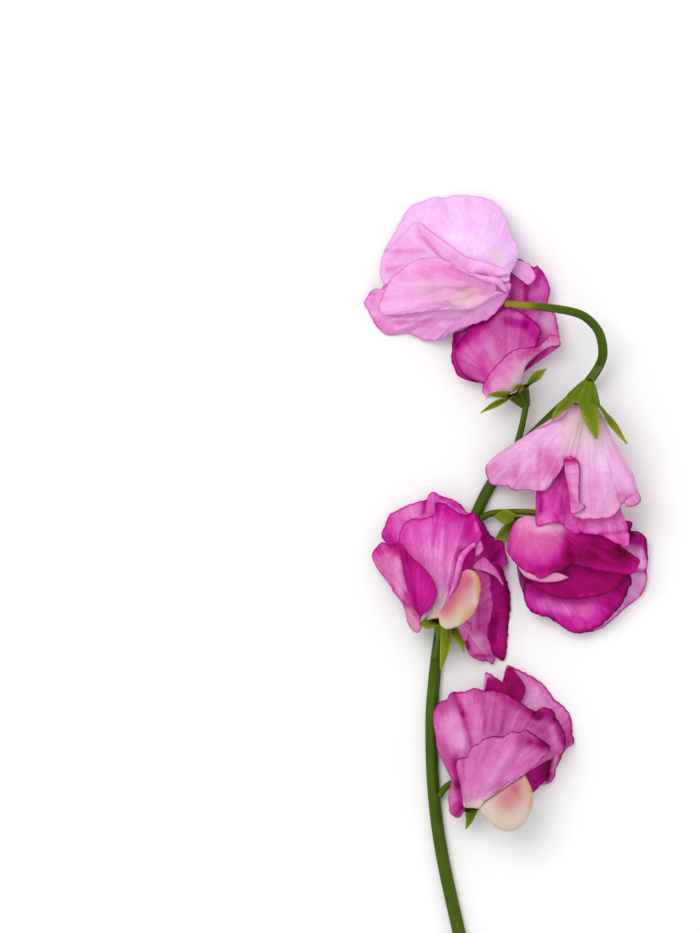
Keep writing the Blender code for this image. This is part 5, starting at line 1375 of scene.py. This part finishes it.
def bloom_6(relief):
    """The pale bloom on the stem's tip, lying over bloom 5."""
    calyx(
        relief, "bloom6_calyx", base=(-1.4, 86.0, 15.4), mouth=(-5.4, 88.0, 15.4), radius=2.4,
        top=(0.0, 1.0, 0.0), tips={}, reach=1.4, tone=0.5,
    )
    petal(
        relief, "bloom6_lower_petal", "blush", claw=[(-8.0, 86.8, 16.4), (-8.4, 88.8, 16.4)],
        margin=[
            (0.4, 93.0, 18.0), (1.0, 91.2, 18.0), (0.7, 89.4, 17.8), (-0.4, 87.2, 17.8), (-1.8, 85.2, 17),
            (-3.5, 83.2, 16), (-5.5, 81.4, 14.6), (-7.5, 80.7, 13.4), (-12.5, 79.0, 10), (-15, 78.1, 8),
            (-19, 75.8, 4.4), (-22, 75.4, 3), (-24.5, 75.7, 2), (-28.4, 77.6, 1.5), (-33, 77.0, 0.7),
            (-35, 77.3, 0.6), (-37, 78.7, 0.6), (-38.8, 81.2, 0.6), (-40, 83.8, 0.8), (-41.2, 85.6, 1),
            (-41, 87.5, 1.5), (-39.6, 89.4, 2.2), (-38.4, 90.4, 2.5), (-36.6, 90, 3.4), (-34, 92, 5),
            (-20, 93, 11),
        ],
        tone=0.22, heart=0.08, rim=(0.24, 0.5), belly=1.0, ruffle=0.4,
        tints_and_shade=[
            (-37.5, 80.6, -34, 78.4, 1.6, 0.16), (-39.5, 86.6, -38.6, 89.2, 1.2, 0.16),
            (-32, 80.6, -14, 81.6, 0.6, 0.14), (-29, 78.6, -20, 80.4, 0.6, 0.1),
            (-5, 88, 0, 89.4, 0.9, 0.2), (-36, 84, -28, 81.6, 1.2, -0.06),
        ],
        creases=[
            (-33, 79.8, -14, 81.8, 0.8, -0.7), (-36, 82.2, -18, 79.4, 1.0, 0.7),
            (-39, 88.6, -37.6, 85, 0.8, -0.6),
        ],
    )
    keel(
        relief, "bloom6_keel", spine=[(-11.0, 86.0), (-14.0, 85.4), (-17.0, 86.5), (-18.0, 89.0)],
        edge=[(-11.0, 88.4), (-13.0, 88.8), (-15.0, 89.4), (-17.0, 90.4)], height=17.0, half_width=1.0,
    )
    petal(
        relief, "bloom6_standard", "lilac", claw=[(-9.4, 91.2, 17.6), (-6.4, 91.4, 17.6)],
        margin=[
            (-18, 91.5, 16), (-28, 91.6, 11), (-34.8, 91.6, 5), (-36.6, 94.6, 3), (-36.4, 98, 2.2),
            (-35.5, 101.4, 2), (-33.5, 105, 1.8), (-31.8, 108, 1.5), (-29, 113, 1), (-27, 114.8, 1),
            (-24, 116, 1), (-20.6, 117.2, 1), (-18.6, 116.8, 1.4), (-14.5, 117.6, 2), (-10, 117.4, 3),
            (-5.8, 116.6, 4), (-3, 115, 5), (-1.5, 113, 6), (-0.2, 110.4, 7.4), (0.5, 107.6, 8.5),
            (1.4, 105.6, 9.6), (2.8, 103.4, 10.8), (3.2, 101, 12), (2.8, 98.6, 13), (1.6, 96, 14.6),
            (0.6, 93.9, 16.6), (0.4, 92.0, 17.0),
        ],
        tone=0.04, heart=0.1, rim=(0.2, 0.3), belly=3.0, ruffle=0.35,
        tints_and_shade=[
            (-15, 105, -8, 101, 3.6, -0.14), (-31, 100, -26, 100.8, 2.4, 0.12),
            (-34, 97, -32, 94, 2.0, 0.16), (-34.8, 101.0, -24, 101.4, 0.7, 0.14),
            (-34.6, 96, -30, 97, 0.6, 0.2), (-26.5, 109.8, -35, 101.3, 0.3, 0.2),
            (-28.4, 104.6, -31.6, 101.8, 2.2, 0.14), (-25.6, 107, -24.4, 104.6, 1.3, 0.14),
            (-18, 116, -17.5, 113, 0.4, 0.08),
        ],
        warm=[(-2.4, 96.5, -3.0, 100.6, 1.5, 0.55)],
        creases=[
            (-30, 107.4, -34.5, 101.6, 0.7, -0.6), (-34, 101, -24, 101.2, 0.9, 0.5),
            (-27, 104, -33, 97, 1.8, 0.7),
        ],
    )
    petal(
        relief, "bloom6_rolled_edge", "lilac",
        claw=[
            (-26.2, 109.4, 3.0), (-25.0, 106.4, 3.0), (-23, 103, 4.0), (-20, 100, 6.0), (-17.5, 98, 9.0),
            (-14, 95.3, 12.0), (-10.6, 94.4, 18.8), (-7, 93.9, 19), (-3, 93.5, 19), (0.4, 94.1, 18.4),
        ],
        margin=[
            (-25.8, 109.8, 3.0), (-24, 108.2, 3.0), (-21, 106, 4.0), (-18, 103.8, 6.0), (-15, 101.4, 9.0),
            (-12, 99.4, 12.0), (-8, 98.1, 18.6), (-4.4, 97.0, 19), (-1.6, 95.8, 18.8), (0.8, 94.6, 18.4),
        ],
        tone=0.1, heart=0.24, rim=(0.22, 0.25), ruffle=0.1, belly=1.0,
        tints_and_shade=[(-24, 105, -20, 100.6, 0.6, 0.16), (-15, 99.5, -12, 97.6, 1.2, 0.08)], extra=True,
    )
    petal(
        relief, "bloom6_front_wing", "blush", claw=[(-3.6, 89.2, 20.2), (-3.2, 91.0, 20.2)],
        margin=[
            (-0.6, 88.6, 20.2), (-3, 88.0, 20.0), (-6, 86.4, 19.5), (-10, 84.3, 18.5), (-15, 84.1, 16.5),
            (-22, 83.9, 13), (-28, 83.1, 10), (-33, 82.7, 7), (-36, 83.0, 6), (-37.2, 84.2, 6),
            (-36.6, 87, 6.6), (-35.2, 90.5, 8), (-33.8, 93, 9.2), (-31, 95.4, 11), (-27.6, 98, 13),
            (-24, 99, 15), (-19.6, 98.7, 17), (-17, 97.3, 18.4), (-14, 95.5, 19.5), (-8, 94, 20.2),
            (-3, 93.2, 20.4), (-1.3, 91.6, 20.2), (-0.5, 90.0, 20.2), (-0.6, 88.6, 20.2),
        ],
        tone=0.16, heart=0.3, rim=(0.24, 0.35), belly=1.6, ruffle=0.35,
        tints_and_shade=[
            (-35.6, 85, -27, 85.2, 1.4, -0.12), (-24, 95.6, -15, 95, 1.8, 0.14),
            (-27, 95, -23, 93.6, 1.2, 0.12), (-32, 88, -26, 92, 2.6, -0.04), (-14, 90, -6, 91, 1.4, 0.06),
        ],
        warm=[(-9, 88, -13, 86, 3.0, 0.45), (-24, 90, -14, 88, 3.4, 0.26)],
        creases=[
            (-30, 94, -10, 90, 1.8, 0.5), (-33, 89, -12, 87, 1.4, -0.4), (-26, 97, -22, 91, 1.2, -0.4),
        ],
    )


# ---------------------------------------------------------------- the table, the light and the camera


def table():
    """The plain pale table top that the spray lies on."""
    mesh = bpy.data.meshes.new("table_top")
    half = TABLE_HALF
    corners = [(-half, -half, 0), (half, -half, 0), (half, half, 0), (-half, half, 0)]
    mesh.from_pydata(corners, [], [(0, 1, 2, 3)])
    top = bpy.data.objects.new("table_top", mesh)
    bpy.context.scene.collection.objects.link(top)
    look, nodes, links = new_finish("pale_table")
    face = nodes.new("ShaderNodeBsdfPrincipled")
    face.inputs["Base Color"].default_value = (*FLOOR_SHADE, 1.0)
    face.inputs["Roughness"].default_value = 0.9
    face.inputs["Specular IOR Level"].default_value = 0.1
    out = nodes.new("ShaderNodeOutputMaterial")
    links.new(face.outputs[0], out.inputs["Surface"])
    mesh.materials.append(look)


def lamp(name, place, aim, size, power):
    light = bpy.data.lights.new(name, "AREA")
    light.shape = "SQUARE"
    light.size = size
    light.energy = power
    shown = bpy.data.objects.new(name, light)
    shown.location = place
    shown.rotation_euler = (Vector(aim) - Vector(place)).to_track_quat("-Z", "Y").to_euler()
    bpy.context.scene.collection.objects.link(shown)


def light_and_camera():
    world = bpy.data.worlds.new("soft_studio")
    world.use_nodes = True
    glow = world.node_tree.nodes["Background"]
    glow.inputs["Color"].default_value = (1.0, 1.0, 1.0, 1.0)
    glow.inputs["Strength"].default_value = WORLD_LIGHT
    bpy.context.scene.world = world
    lamp("key_light", KEY_PLACE, (0.0, 0.0, 0.0), KEY_SIZE, KEY_LIGHT)
    camera = bpy.data.cameras.new("camera")
    camera.type = "PERSP"
    camera.lens = CAMERA_LENS
    camera.sensor_width = 36.0
    camera.clip_end = 20.0
    eye = bpy.data.objects.new("camera", camera)
    eye.location = (*CAMERA_AIM, CAMERA_DISTANCE + PETAL_LEVEL)
    bpy.context.scene.collection.objects.link(eye)
    bpy.context.scene.camera = eye
    bpy.context.scene.view_settings.view_transform = "Standard"


def main():
    under = Relief()
    bloom_5(under)
    relief = Relief()
    stalks(relief)
    np.maximum(relief.height, under.height, out=relief.height)
    bloom_1(relief)
    bloom_2(relief)
    bloom_3(relief)
    bloom_4(relief)
    bloom_6(relief)
    table()
    light_and_camera()


main()
